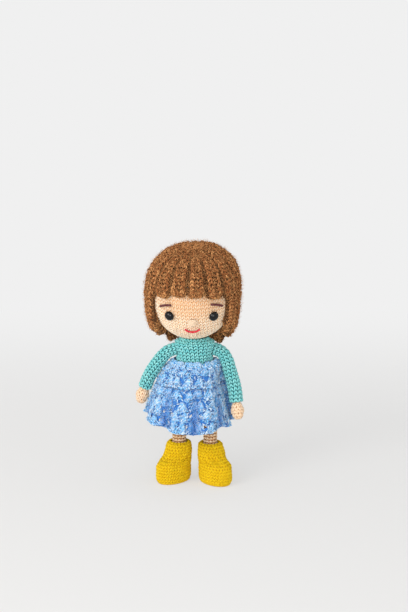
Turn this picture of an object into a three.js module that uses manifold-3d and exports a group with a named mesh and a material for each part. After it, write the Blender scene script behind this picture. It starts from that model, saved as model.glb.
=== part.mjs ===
// A crocheted doll: a ball head with a bob of hair, a jumper, a two-tier skirt and boots.
// Millimetres, +Z up. The doll faces -Y and stands on z = 0, with its own left at +X.
// Azimuth is measured round +Z from the front, and is positive towards the doll's left.

import * as THREE from 'three';
import { mergeVertices } from 'three/addons/utils/BufferGeometryUtils.js';
import Module from 'manifold-3d';

const wasm = await Module();
wasm.setup();

// Fits shared by every piece
const clearance = 0.3;
const paddingGap = 0.5;
const hairGap = 0.45;
const jointGap = 0.45;
const overrun = 2;

// Head, an egg-shaped ball that leans forward on the neck
const headRadius = 20.5;
const headHalfHeight = 22.2;
const headWall = 1.4;
const headX = -0.9;
const headY = -1;
const headZ = 94;
const headLean = 10;
const headOpening = 5.4;

// Neck post, which turns in the body and carries the head on its upper ball
const neckPivotZ = 75.5;
const neckBallRadius = 2.8;
const neckStemRadius = 1.6;
const neckFootRadius = 2.6;
const neckFootZ = 66.2;
const nodRange = 6;
const turnRange = 35;

// Eyes, nose, mouth and eyebrows, placed by azimuth and elevation on the head
const leftEyeAzimuth = 29;
const rightEyeAzimuth = 31.6;
const eyeElevation = -11;
const eyeRadius = 2.4;
const eyeHeight = 1.75;
const eyeStemRadius = 0.6;
const eyeStemLength = 4.2;
const washerRadius = 2;
const washerThickness = 0.8;
const washerGap = 0.9;
const noseElevation = -19;
const noseHalfWidth = 2.2;
const noseHalfHeight = 1.9;
const noseDepth = 1.5;
const mouthElevation = -30.9;
const mouthWidth = 6.7;
const mouthSag = 1.5;
const mouthThread = 0.9;
const leftBrowAzimuth = 34;
const rightBrowAzimuth = 38;
const leftBrowElevation = 3;
const rightBrowElevation = 1.3;
const browWidth = 6.5;
const browBow = 0.35;
const browRise = 2;
const browThread = 0.7;

// Hair, a crown and locks that are stitched round it, each with two ribs
const hairThickness = 3.35;
const hairSquareness = 2.3;
const hairTuck = 6.8;
const tuckPower = 2.2;
const ribDepth = 1;
const crownAngle = 11.5;
const tipLength = 3;
const tipWidthShare = 0.35;
const lockCount = 15;
const firstLockAzimuth = 6;
const fringeLengths = [35, 32.8, 33.2, 34.6];
const leftSideLength = 51.5;
const rightSideLength = 53.5;
const napeLength = 68.2;
const sidePower = 1.1;
const faceTrim = 8;
const faceTrimLengths = [33, 38];
const hairFullShare = 0.06;

// Body, a stuffed tube that widens at the hips
const torsoBottomZ = 43.2;
const torsoTopZ = 75;
const collarDepth = 5.5;
const chestRadius = 9.2;
const waistShare = 0.99;
const torsoDepthShare = 0.85;
const torsoWall = 1.2;
const neckOpening = 4.2;
const torsoOutlineShares = [
  [0.85, 0], [1.18, 0.06], [1.26, 0.14], [1.1, 0.26], [1.02, 0.37], [waistShare, 0.5],
  [waistShare, 0.57], [1, 0.655], [1, 0.75], [1.03, 0.8], [1.01, 0.85], [0.85, 0.905], [0.74, 1],
];

// Arms, each on a wire that slopes down as it leaves the shoulder
const shoulderX = 9;
const shoulderZ = 66.9;
const shoulderSlope = 20;
const shoulderRadius = 3.3;
const cuffRadius = 3.45;
const sleeveTaperShares = [0.15, 0.5];
const armReach = 34;
const armWireRadius = 0.5;
const shoulderWireRadius = 0.8;
const shoulderBallRadius = 1.4;
const shoulderButtonRadius = 2.2;
const shoulderButtonThickness = 1;
const shoulderWireLength = 4.6;
const liftRange = 30;
const handHalfWidth = 3.6;
const handEndShare = 0.82;
const leftSleeveShares = [
  [0, 0, 0], [0.11, 0, -0.045], [0.192, -0.03, -0.145], [0.24, -0.08, -0.3], [0.29, -0.14, -0.46],
  [0.32, -0.19, -0.6], [0.335, -0.22, -0.74],
];
const leftHandShares = [[0.345, -0.25, -0.8], [0.352, -0.27, -0.86], [0.357, -0.285, -0.905]];
const rightSleeveShares = [
  [0, 0, 0], [-0.117, 0, -0.045], [-0.217, 0.01, -0.145], [-0.31, 0.04, -0.28], [-0.395, 0.07, -0.43],
  [-0.46, 0.1, -0.6],
];
const rightHandShares = [[-0.48, 0.11, -0.665], [-0.5, 0.12, -0.725], [-0.515, 0.125, -0.775]];

// Legs, straight stuffed tubes with a ball at the hip
const legX = 7.7;
const leftLegY = -1.6;
const rightLegY = 0.8;
const hipZ = 46.6;
const hipRadius = 3.9;
const legRadius = 3.55;
const thighRadius = 3.75;
const legWireRadius = 0.6;
const hipForward = 35;
const hipBack = 30;

// Skirt, two gathered tiers below a band at the waist
const waistZ = 59.9;
const waistbandHeight = 1.6;
const waistbandThickness = 0.8;
const upperTierHemZ = 50.4;
const lowerTierTopZ = 53.4;
const lowerTierHemZ = 29.6;
const hemRise = 4.6;
const hemRiseAzimuth = -88;
const hemRiseWidth = 42;
const hemDip = 2.2;
const hemDipAzimuth = 4.5;
const hemDipWidth = 11;
const hemRadius = 24.6;
const clothThickness = 1.2;
const foldCount = 9;
const foldAzimuth = 4.5;
const upperFoldDepth = 0.9;
const lowerFoldDepth = 2.4;
const hemScallopShare = 0.4;
const upperTopFoldShare = 0.3;
const lowerTopFoldShare = 0.25;
const hemShiftX = -2.2;
const leftArmDent = 4.8;
const rightArmDent = 1.8;
const leftDentAzimuth = 70;
const rightDentAzimuth = -97;
const dentWidth = 30;
const dentStartShare = 5;
const dentFadeShare = 0.3;
const upperTierShares = [[0.51, 0], [0.58, 0.08], [0.668, 0.3], [0.742, 0.67], [0.785, 1]];
const lowerTierShares = [
  [0.655, 0], [0.7, 0.11], [0.8, 0.19], [0.845, 0.32], [0.9, 0.5], [0.95, 0.72], [1, 1],
];

// Boots, with toes that turn out from the leg
const bootHeight = 19.5;
const bootRimRadius = 5.9;
const bootHalfLength = 10.6;
const bootHalfWidth = 7.2;
const bootForward = 4.4;
const bootWall = 1.3;
const soleThickness = 1.5;
const insoleThickness = 0.8;
const toeHeight = 12;
const leftToeOut = 34;
const rightToeOut = 40;
const bootSectionShares = [
  [0, 0.91, 0.9, 0.95], [0.1, 0.98, 0.985, 1], [0.3, 1, 1, 1], [0.46, 0.97, 0.98, 0.93],
  [0.6, 0.77, 0.93, 0.46], [0.7, 0.69, 0.92, 0.25], [0.84, 0.66, 0.9, 0.14],
];

// Facets of the curved shapes
const roundSegments = 22;
const coarseSegments = 18;
const jointSegments = 12;
const wireSegments = 8;
const tubeSides = 10;
const wireSides = 6;
const bootSides = 18;
const foldSegments = 6;
const lockRowLength = 7.6;
const eyeSegments = 14;
const sleeveSteps = 9;
const handSteps = 3;
const threadSteps = 6;
const armWireSteps = 10;
const ballArcSteps = 6;
const wireArcSteps = 4;
const crownRows = 3;
const mergeDistance = 1e-4;

const radians = THREE.MathUtils.degToRad;

// Finishes
function finish(colour, roughness, metalness = 0) {
  return new THREE.MeshStandardMaterial({ color: colour, roughness, metalness });
}

const skinYarn = finish('#efcf9f', 0.9);
const hairYarn = finish('#8f5f3a', 0.95);
const jumperYarn = finish('#73bdbd', 0.9);
const skirtYarn = finish('#84aede', 0.9);
const bootYarn = finish('#e0b410', 0.9);
const eyePlastic = finish('#15161a', 0.15);
const washerPlastic = finish('#d8d8d4', 0.5);
const mouthThreadYarn = finish('#c4343c', 0.8);
const browThreadYarn = finish('#4a2b30', 0.8);
const stuffing = finish('#f3f1ea', 1);
const steelWire = finish('#b4b7ba', 0.35, 1);
const insoleFelt = finish('#e9e4d6', 0.95);

// Solids from three.js geometry
function solid(geometry, matrix) {
  const plain = geometry.clone();
  for (const extra of ['normal', 'uv']) {
    plain.deleteAttribute(extra);
  }
  if (matrix) {
    plain.applyMatrix4(matrix);
  }
  const merged = mergeVertices(plain, mergeDistance);
  return new wasm.Manifold(new wasm.Mesh({
    numProp: 3,
    vertProperties: new Float32Array(merged.attributes.position.array),
    triVerts: new Uint32Array(merged.index.array),
  }));
}

function geometryOf(body) {
  const mesh = body.getMesh();
  const geometry = new THREE.BufferGeometry();
  geometry.setAttribute('position', new THREE.BufferAttribute(mesh.vertProperties, mesh.numProp));
  geometry.setIndex(new THREE.BufferAttribute(mesh.triVerts, 1));
  geometry.computeVertexNormals();
  return geometry;
}

function addPiece(group, name, shape, material) {
  const geometry = shape.isBufferGeometry ? shape : geometryOf(shape);
  const mesh = new THREE.Mesh(geometry, material);
  mesh.name = name;
  group.add(mesh);
  return mesh;
}

// Rings of points joined into one closed surface, with end fans, or with the last ring
// joined to the first when it is closed round
function loft(rings, closedRound = false) {
  const size = rings[0].length;
  const points = rings.flat();
  const faces = [];
  const spans = closedRound ? rings.length : rings.length - 1;
  for (let i = 0; i < spans; i += 1) {
    const here = i * size;
    const next = ((i + 1) % rings.length) * size;
    for (let j = 0; j < size; j += 1) {
      const k = (j + 1) % size;
      faces.push(here + j, here + k, next + k, here + j, next + k, next + j);
    }
  }
  if (!closedRound) {
    const ends = [rings[0], rings[rings.length - 1]];
    ends.forEach((ring, end) => {
      const middle = new THREE.Vector3();
      ring.forEach((point) => middle.add(point));
      points.push(middle.divideScalar(size));
      const hub = points.length - 1;
      const start = end ? (rings.length - 1) * size : 0;
      for (let j = 0; j < size; j += 1) {
        const k = (j + 1) % size;
        faces.push(hub, start + (end ? j : k), start + (end ? k : j));
      }
    });
  }
  const geometry = new THREE.BufferGeometry().setFromPoints(points);
  geometry.setIndex(faces);
  if (signedVolume(points, faces) < 0) {
    for (let f = 0; f < faces.length; f += 3) {
      [faces[f], faces[f + 1]] = [faces[f + 1], faces[f]];
    }
    geometry.setIndex(faces);
  }
  geometry.computeVertexNormals();
  return geometry;
}

function signedVolume(points, faces) {
  let total = 0;
  for (let f = 0; f < faces.length; f += 3) {
    const [a, b, c] = [points[faces[f]], points[faces[f + 1]], points[faces[f + 2]]];
    total += a.dot(b.clone().cross(c));
  }
  return total;
}

// A tube along a smooth path, with a radius at each share of its length and round ends
function roundTube(points, radiusAt, sides, steps, roundStart = true, roundEnd = true) {
  const path = new THREE.CatmullRomCurve3(points);
  const length = path.getLength();
  const stations = [];
  for (let i = 0; i <= steps; i += 1) {
    stations.push({ share: i / steps, out: 0, scale: 1 });
  }
  const capShares = [0.5, 0.8, 0.97];
  if (roundStart) {
    for (const cap of capShares) {
      stations.unshift({ share: 0, out: -cap, scale: Math.sqrt(1 - cap * cap) });
    }
  }
  if (roundEnd) {
    for (const cap of capShares) {
      stations.push({ share: 1, out: cap, scale: Math.sqrt(1 - cap * cap) });
    }
  }
  const across = new THREE.Vector3(0, 1, 0);
  const rings = stations.map(({ share, out, scale }) => {
    const radius = radiusAt(share, length);
    const along = path.getTangentAt(share);
    const side = across.clone().cross(along).normalize();
    const front = along.clone().cross(side);
    const middle = path.getPointAt(share).addScaledVector(along, out * radius);
    const ring = [];
    for (let j = 0; j < sides; j += 1) {
      const turn = (j / sides) * Math.PI * 2;
      const reach = radius * scale;
      ring.push(middle.clone()
        .addScaledVector(side, Math.cos(turn) * reach)
        .addScaledVector(front, Math.sin(turn) * reach));
    }
    return ring;
  });
  return loft(rings);
}

function turned(outline, segments = roundSegments) {
  const geometry = new THREE.LatheGeometry(outline.map(([r, z]) => new THREE.Vector2(r, z)), segments);
  return geometry.rotateX(Math.PI / 2);
}

function ball(radius, segments = roundSegments) {
  return new THREE.SphereGeometry(radius, segments, Math.round(segments / 2));
}

function egg(radius, halfHeight, segments = roundSegments) {
  return ball(1, segments).rotateX(Math.PI / 2).scale(radius, radius, halfHeight);
}

function cylinder(radius, length, segments = tubeSides) {
  return new THREE.CylinderGeometry(radius, radius, length, segments).rotateX(Math.PI / 2);
}

function moved(x, y, z) {
  return new THREE.Matrix4().makeTranslation(x, y, z);
}

// A wedge of room round a pivot on the X axis, for a limb that swings from one angle to another.
// Angles are measured from straight down, and are positive towards the front.
function swingRoom(radius, reach, width, backAngle, frontAngle) {
  const shape = new THREE.Shape();
  const back = radians(backAngle);
  const front = radians(frontAngle);
  const offset = (angle, side, out) => [
    Math.sin(angle) * out + Math.cos(angle) * radius * side,
    -Math.cos(angle) * out + Math.sin(angle) * radius * side,
  ];
  shape.moveTo(...offset(back, -1, 0));
  shape.lineTo(...offset(back, -1, reach));
  shape.lineTo(...offset(front, 1, reach));
  shape.lineTo(...offset(front, 1, 0));
  shape.closePath();
  const wedge = new THREE.ExtrudeGeometry(shape, { depth: width, bevelEnabled: false });
  wedge.translate(0, 0, -width / 2);
  // The outline's x becomes -Y, its y becomes Z, and its depth lies along X
  wedge.applyMatrix4(new THREE.Matrix4().makeBasis(
    new THREE.Vector3(0, -1, 0), new THREE.Vector3(0, 0, 1), new THREE.Vector3(-1, 0, 0),
  ));
  return wedge;
}

// Head group
const headFrame = new THREE.Matrix4().compose(
  new THREE.Vector3(headX, headY, headZ),
  new THREE.Quaternion().setFromEuler(new THREE.Euler(radians(headLean), 0, 0)),
  new THREE.Vector3(1, 1, 1),
);
const intoHead = headFrame.clone().invert();

function headDirection(azimuth, elevation) {
  const a = radians(azimuth);
  const e = radians(elevation);
  return new THREE.Vector3(Math.sin(a) * Math.cos(e), -Math.cos(a) * Math.cos(e), Math.sin(e));
}

// The point of the head's surface in a direction, raised along the surface's normal
function onHead(azimuth, elevation, raise) {
  const direction = headDirection(azimuth, elevation);
  const flat = Math.hypot(direction.x, direction.y) / headRadius;
  const reach = 1 / Math.hypot(flat, direction.z / headHalfHeight);
  const point = direction.multiplyScalar(reach);
  const normal = new THREE.Vector3(
    point.x / headRadius ** 2, point.y / headRadius ** 2, point.z / headHalfHeight ** 2,
  ).normalize();
  return { point: point.clone().addScaledVector(normal, raise), normal };
}

// A frame on the head's surface: its Z is the outward normal and its Y runs up the face
function faceFrame(azimuth, elevation, raise) {
  const { point, normal } = onHead(azimuth, elevation, raise);
  const side = new THREE.Vector3(0, 0, 1).cross(normal).normalize();
  const up = normal.clone().cross(side);
  return new THREE.Matrix4().makeBasis(side, up, normal).setPosition(point);
}

function headPieces() {
  const group = new THREE.Group();
  group.applyMatrix4(headFrame);
  const opening = intoHead.clone().multiply(moved(0, 0, neckPivotZ - headHalfHeight / 2));
  const throat = solid(cylinder(headOpening, headHalfHeight, roundSegments), opening);
  const innerRadius = headRadius - headWall;
  const innerHalfHeight = headHalfHeight - headWall;
  let cover = solid(egg(headRadius, headHalfHeight))
    .subtract(solid(egg(innerRadius, innerHalfHeight)))
    .subtract(throat);
  const socket = intoHead.clone().multiply(moved(0, 0, neckPivotZ));
  let filling = solid(egg(innerRadius - paddingGap, innerHalfHeight - paddingGap, coarseSegments))
    .subtract(throat)
    .subtract(solid(ball(neckBallRadius + clearance), socket));
  for (const [name, azimuth] of [['left', leftEyeAzimuth], ['right', -rightEyeAzimuth]]) {
    const seat = faceFrame(azimuth, eyeElevation, clearance);
    const stemTop = -eyeStemLength;
    const dome = [[0, stemTop], [eyeStemRadius, stemTop], [eyeStemRadius, 0], [eyeRadius, 0]];
    const domeShares = [0.35, 0.65, 0.87];
    for (const share of domeShares) {
      dome.push([eyeRadius * Math.sqrt(1 - share * share), eyeHeight * share]);
    }
    dome.push([0, eyeHeight]);
    addPiece(group, `${name}_eye`, solid(turned(dome, eyeSegments), seat), eyePlastic);
    const washerZ = -washerGap - headWall - washerThickness / 2;
    const washerFrame = seat.clone().multiply(moved(0, 0, washerZ));
    const washer = solid(cylinder(washerRadius, washerThickness, jointSegments), washerFrame)
      .subtract(solid(cylinder(eyeStemRadius + clearance, washerThickness * 2, wireSegments), washerFrame));
    addPiece(group, `${name}_eye_washer`, washer, washerPlastic);
    const stemRoom = seat.clone().multiply(moved(0, 0, stemTop / 2));
    cover = cover.subtract(
      solid(cylinder(eyeStemRadius + clearance, eyeStemLength + clearance * 2, wireSegments), stemRoom),
    );
    const pocket = eyeStemLength + clearance;
    const pocketFrame = seat.clone().multiply(moved(0, 0, -pocket / 2));
    filling = filling.subtract(
      solid(cylinder(washerRadius + clearance, pocket, jointSegments), pocketFrame),
    );
  }
  addPiece(group, 'head_cover', cover, skinYarn);
  addPiece(group, 'head_stuffing', filling, stuffing);
  addFace(group);
  addHair(group);
  return group;
}

// A thread laid on the face between two azimuths, bowed up or down in its middle
function faceThread(azimuth, elevation, width, bow, tilt, thickness) {
  const points = [];
  const halfAngle = THREE.MathUtils.radToDeg(width / 2 / headRadius);
  for (let i = 0; i <= threadSteps; i += 1) {
    const share = (i / threadSteps) * 2 - 1;
    const lift = THREE.MathUtils.radToDeg((bow * (1 - share * share) + tilt * share) / headRadius);
    const spread = halfAngle / Math.cos(radians(elevation));
    points.push(onHead(azimuth + share * spread, elevation + lift, clearance + thickness / 2).point);
  }
  return roundTube(points, () => thickness / 2, wireSides, threadSteps);
}

function addFace(group) {
  const roomForHead = solid(egg(headRadius + clearance, headHalfHeight + clearance));
  const nose = ball(1, eyeSegments).scale(noseHalfWidth, noseHalfHeight, noseDepth);
  addPiece(group, 'nose', solid(nose, faceFrame(0, noseElevation, 0)).subtract(roomForHead), skinYarn);
  const mouth = faceThread(0, mouthElevation, mouthWidth, -mouthSag, 0, mouthThread);
  addPiece(group, 'mouth', mouth, mouthThreadYarn);
  for (const [name, side, azimuth, elevation] of [
    ['left', 1, leftBrowAzimuth, leftBrowElevation], ['right', -1, rightBrowAzimuth, rightBrowElevation],
  ]) {
    const brow = faceThread(side * azimuth, elevation, browWidth, browBow, -side * browRise / 2, browThread);
    addPiece(group, `${name}_eyebrow`, brow, browThreadYarn);
  }
}

// The hair's outer and inner outlines at a distance down from the crown, as radius and height
const hairRadius = headRadius + hairGap + hairThickness;
const hairTop = headHalfHeight + hairGap + hairThickness;
const domeLength = (hairRadius + hairTop) / 2 * (Math.PI / 2);

function hairOutline(down, azimuth = 0) {
  const power = 2 / hairSquareness;
  if (down < domeLength) {
    const angle = (1 - down / domeLength) * (Math.PI / 2);
    const [c, s] = [Math.cos(angle), Math.sin(angle)];
    const full = 1 + hairFullShare * Math.max(0, Math.sin(radians(azimuth))) * Math.sin(angle * 2);
    return {
      outer: [hairRadius * full * c ** power, hairTop * full * s ** power],
      inner: [(headRadius + hairGap) * c, (headHalfHeight + hairGap) * s],
    };
  }
  const below = down - domeLength;
  const fall = napeLength - domeLength;
  const tuck = hairTuck * (below / fall) ** tuckPower;
  const radius = hairRadius - tuck;
  return { outer: [radius, -below], inner: [radius - hairThickness, -below] };
}

// One lock: rings down its length, each with two ribs on its outer side. A lock beside the face
// is cut back from it below the fringe.
function hairLock(azimuth, drop, faceSide = 0) {
  const rings = [];
  const halfTurn = 180 / lockCount;
  const crown = domeLength * (crownAngle / 90);
  const tipStart = drop - tipLength;
  const stations = [];
  const rows = Math.max(4, Math.round((tipStart - crown) / lockRowLength));
  for (let i = 0; i <= rows; i += 1) {
    stations.push({ down: crown + (tipStart - crown) * (i / rows), shape: 1 });
  }
  const tipShares = [0.45, 0.78, 0.97];
  for (const share of tipShares) {
    stations.push({ down: tipStart + tipLength * share, shape: Math.sqrt(1 - share * share) });
  }
  const acrossShares = [-1, -0.7, -0.3, 0, 0.3, 0.7, 1];
  const backShares = [1, 0, -1];
  for (const { down, shape } of stations) {
    const { outer, inner } = hairOutline(down, azimuth);
    const middle = [(outer[0] + inner[0]) / 2, (outer[1] + inner[1]) / 2];
    const ring = [];
    const thickness = Math.hypot(outer[0] - inner[0], outer[1] - inner[1]);
    const place = (share, [radius, z], sink) => {
      const kept = shape * (1 - (2 * sink) / thickness);
      const r = middle[0] + (radius - middle[0]) * kept;
      const height = middle[1] + (z - middle[1]) * kept;
      const gap = THREE.MathUtils.radToDeg(Math.asin(clearance / 2 / inner[0]));
      const spread = tipWidthShare + (1 - tipWidthShare) * shape;
      const cut = faceTrim * THREE.MathUtils.smoothstep(down, ...faceTrimLengths);
      const trim = faceSide * cut * ((1 + faceSide * share) / 2);
      const turn = radians(azimuth + share * (halfTurn - gap) * spread - trim);
      ring.push(new THREE.Vector3(Math.sin(turn) * r, -Math.cos(turn) * r, height));
    };
    for (const share of acrossShares) {
      const hump = Math.abs(Math.sin(share * Math.PI));
      place(share, outer, ribDepth * (1 - hump));
    }
    for (const share of backShares) {
      place(share, inner, 0);
    }
    rings.push(ring);
  }
  return loft(rings);
}

function addHair(group) {
  const crownEdge = domeLength * (crownAngle / 90) - clearance;
  const outline = [];
  const inside = [];
  for (let i = 0; i <= crownRows; i += 1) {
    const { outer, inner } = hairOutline(crownEdge * (i / crownRows));
    outline.push(outer);
    inside.push(inner);
  }
  outline[0][0] = 0;
  inside[0][0] = 0;
  const crown = turned([...inside, ...outline.reverse()]);
  addPiece(group, 'hair_crown', solid(crown), hairYarn);
  const step = 360 / lockCount;
  const fringe = [-2, -1, 0, 1];
  fringe.forEach((k, i) => {
    const lock = hairLock(firstLockAzimuth + k * step, fringeLengths[i]);
    addPiece(group, `fringe_lock_${i + 1}`, lock, hairYarn);
  });
  for (const [name, side, first, length] of [
    ['left', 1, 2, leftSideLength], ['right', -1, -3, rightSideLength],
  ]) {
    for (let i = 0; i < 3; i += 1) {
      const azimuth = firstLockAzimuth + (first + side * i) * step;
      const drop = length + (napeLength - length) * (i / 3) ** sidePower;
      const lock = hairLock(azimuth, drop, i > 0 ? 0 : -side);
      addPiece(group, `${name}_side_lock_${i + 1}`, lock, hairYarn);
    }
  }
  for (let i = 0; i < 5; i += 1) {
    const azimuth = firstLockAzimuth + (5 + i) * step;
    addPiece(group, `nape_lock_${i + 1}`, hairLock(azimuth, napeLength), hairYarn);
  }
}

// Neck post
function neckPost(extra) {
  const outline = [[0, neckFootZ - neckFootRadius - extra]];
  const stem = neckStemRadius + extra;
  const foot = neckFootRadius + extra;
  const top = neckBallRadius + extra;
  for (let i = 1; i < ballArcSteps; i += 1) {
    const angle = -Math.PI / 2 + (Math.PI / 2 + Math.acos(stem / foot)) * (i / ballArcSteps);
    outline.push([foot * Math.cos(angle), neckFootZ + foot * Math.sin(angle)]);
  }
  outline.push([stem, neckFootZ + Math.sqrt(foot ** 2 - stem ** 2)]);
  outline.push([stem, neckPivotZ - Math.sqrt(top ** 2 - stem ** 2)]);
  for (let i = 1; i < ballArcSteps; i += 1) {
    const angle = -Math.acos(stem / top) + (Math.PI / 2 + Math.acos(stem / top)) * (i / ballArcSteps);
    outline.push([top * Math.cos(angle), neckPivotZ + top * Math.sin(angle)]);
  }
  outline.push([0, neckPivotZ + top]);
  return turned(outline, jointSegments);
}

// The places that the head reaches as it turns and nods, which the collar stays clear of
function headRoom() {
  const reaches = [[0, 0]];
  for (const turn of [-turnRange, turnRange]) {
    reaches.push([turn, -nodRange], [turn, nodRange]);
  }
  return reaches.map(([turn, nod]) => {
    const frame = moved(0, 0, neckPivotZ)
      .multiply(new THREE.Matrix4().makeRotationZ(radians(turn)))
      .multiply(new THREE.Matrix4().makeRotationX(radians(nod)))
      .multiply(moved(0, 0, -neckPivotZ))
      .multiply(headFrame);
    return solid(egg(headRadius + clearance, headHalfHeight + clearance), frame);
  }).reduce((room, space) => room.add(space));
}

// Body
function torsoShape(inset, topZ, segments = roundSegments) {
  const height = torsoTopZ - torsoBottomZ;
  const outline = torsoOutlineShares.map(([r, z]) => [
    Math.max(0, chestRadius * r - inset),
    THREE.MathUtils.clamp(torsoBottomZ + height * z, torsoBottomZ + inset, topZ),
  ]);
  outline.unshift([0, outline[0][1]]);
  outline.push([0, outline[outline.length - 1][1]]);
  const distinct = outline.filter(([r, z], i) => (
    i === 0 || Math.hypot(r - outline[i - 1][0], z - outline[i - 1][1]) > clearance / 10
  ));
  return turned(distinct, segments).scale(1, torsoDepthShare, 1);
}

// The swing axis of a shoulder: it leaves the body sideways and slopes down
function shoulderFrame(side) {
  const out = new THREE.Vector3(side, 0, 0)
    .applyAxisAngle(new THREE.Vector3(0, 1, 0), radians(side * shoulderSlope));
  const along = new THREE.Quaternion().setFromUnitVectors(new THREE.Vector3(0, 0, 1), out);
  return new THREE.Matrix4().compose(
    new THREE.Vector3(side * shoulderX, 0, shoulderZ), along, new THREE.Vector3(1, 1, 1),
  );
}

// A shoulder wire lies along its frame's Z: a button inside the body and a ball at the pivot
function shoulderWire(extra) {
  const button = shoulderButtonRadius + extra;
  const stem = shoulderWireRadius + extra;
  const end = -shoulderWireLength;
  const tip = shoulderBallRadius + extra;
  const outline = [
    [0, end - shoulderButtonThickness - extra], [button, end - shoulderButtonThickness - extra],
    [button, end + extra], [stem, end + extra], [stem, -Math.sqrt(tip ** 2 - stem ** 2)],
  ];
  const startAngle = -Math.acos(stem / tip);
  for (let i = 1; i < wireArcSteps; i += 1) {
    const angle = startAngle + (Math.PI / 2 - startAngle) * (i / wireArcSteps);
    outline.push([tip * Math.cos(angle), tip * Math.sin(angle)]);
  }
  outline.push([0, tip]);
  return turned(outline, wireSegments);
}

function bodyPieces() {
  const group = new THREE.Group();
  const cavityTop = torsoTopZ - collarDepth;
  let cover = solid(torsoShape(0, torsoTopZ))
    .subtract(solid(torsoShape(torsoWall, cavityTop, coarseSegments)))
    .subtract(solid(cylinder(neckOpening, (collarDepth + overrun) * 2), moved(0, 0, torsoTopZ)))
    .subtract(headRoom());
  let filling = solid(torsoShape(torsoWall + clearance, cavityTop - clearance, coarseSegments))
    .subtract(solid(neckPost(clearance)));
  for (const side of [1, -1]) {
    const shoulder = shoulderFrame(side);
    const socket = solid(ball(shoulderRadius + jointGap, jointSegments), shoulder);
    const wire = solid(shoulderWire(clearance), shoulder);
    cover = cover.subtract(socket).subtract(wire);
    filling = filling.subtract(socket).subtract(wire);
    const hip = moved(side * legX, side > 0 ? leftLegY : rightLegY, hipZ);
    const legRoom = solid(swingRoom(
      legRadius + clearance, hipZ, (legRadius + clearance) * 2, -hipBack, hipForward,
    ), hip).add(solid(ball(hipRadius + jointGap, jointSegments), hip));
    cover = cover.subtract(legRoom);
    filling = filling.subtract(legRoom);
    addPiece(group, `${side > 0 ? 'left' : 'right'}_shoulder_wire`,
      solid(shoulderWire(0), shoulder), steelWire);
  }
  addPiece(group, 'torso_cover', cover, jumperYarn);
  addPiece(group, 'torso_stuffing', filling, stuffing);
  addPiece(group, 'neck_post', solid(neckPost(0)), washerPlastic);
  return group;
}

// Skirt
function fallsOff(azimuth, at, width) {
  const apart = THREE.MathUtils.euclideanModulo(azimuth - at + 180, 360) - 180;
  return Math.exp(-((apart / width) ** 2));
}

function armDent(azimuth, share) {
  const start = Math.min(1, share * dentStartShare);
  const fade = start - dentFadeShare * share ** 3;
  const left = leftArmDent * fallsOff(azimuth, leftDentAzimuth, dentWidth);
  const right = rightArmDent * fallsOff(azimuth, rightDentAzimuth, dentWidth);
  return (left + right) * fade;
}

function skirtTier(topZ, hemZ, outlineShares, foldDepth, topFoldShare, rise, dip) {
  const rings = [];
  const around = foldCount * foldSegments;
  for (let j = 0; j < around; j += 1) {
    const azimuth = (j / around) * 360;
    const turn = radians(azimuth);
    const groove = (1 + Math.cos(radians(foldCount * (azimuth - foldAzimuth)))) / 2;
    const ring = [];
    const place = (share, radiusShare, inset) => {
      const lift = (rise * fallsOff(azimuth, hemRiseAzimuth, hemRiseWidth)
        - dip * fallsOff(azimuth, hemDipAzimuth, hemDipWidth)) * share ** 2;
      const scallop = foldDepth * hemScallopShare * groove * share ** 2;
      const z = topZ + (hemZ - topZ) * share + lift + scallop;
      const depth = foldDepth * (topFoldShare + (1 - topFoldShare) * share);
      const down = (waistZ - z) / (waistZ - lowerTierHemZ);
      const radius = hemRadius * radiusShare - depth * groove - armDent(azimuth, down) - inset;
      ring.push(new THREE.Vector3(
        Math.sin(turn) * radius + hemShiftX * down, -Math.cos(turn) * radius, z,
      ));
    };
    outlineShares.forEach(([radiusShare, share]) => place(share, radiusShare, 0));
    [...outlineShares].reverse().forEach(([radiusShare, share]) => (
      place(share, radiusShare, clothThickness)
    ));
    rings.push(ring);
  }
  return loft(rings, true);
}

function skirtPieces() {
  const group = new THREE.Group();
  const waistRadius = chestRadius * waistShare;
  const bandTop = waistZ + waistbandHeight / 2;
  const bandFrame = moved(0, 0, bandTop - waistbandHeight / 2);
  const outer = cylinder(1, waistbandHeight, roundSegments)
    .scale(waistRadius + clearance + waistbandThickness,
      waistRadius * torsoDepthShare + clearance + waistbandThickness, 1);
  const inner = cylinder(1, waistbandHeight * 2, roundSegments)
    .scale(waistRadius + clearance, waistRadius * torsoDepthShare + clearance, 1);
  const band = solid(outer, bandFrame).subtract(solid(inner, bandFrame));
  addPiece(group, 'skirt_waistband', band, skirtYarn);
  const tierTop = bandTop - waistbandHeight - clearance;
  const upper = skirtTier(tierTop, upperTierHemZ, upperTierShares, upperFoldDepth, upperTopFoldShare, 0, 0);
  const lower = skirtTier(lowerTierTopZ, lowerTierHemZ, lowerTierShares, lowerFoldDepth, lowerTopFoldShare,
    hemRise, hemDip);
  addPiece(group, 'skirt_upper_tier', upper, skirtYarn);
  addPiece(group, 'skirt_lower_tier', lower, skirtYarn);
  return group;
}

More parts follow.
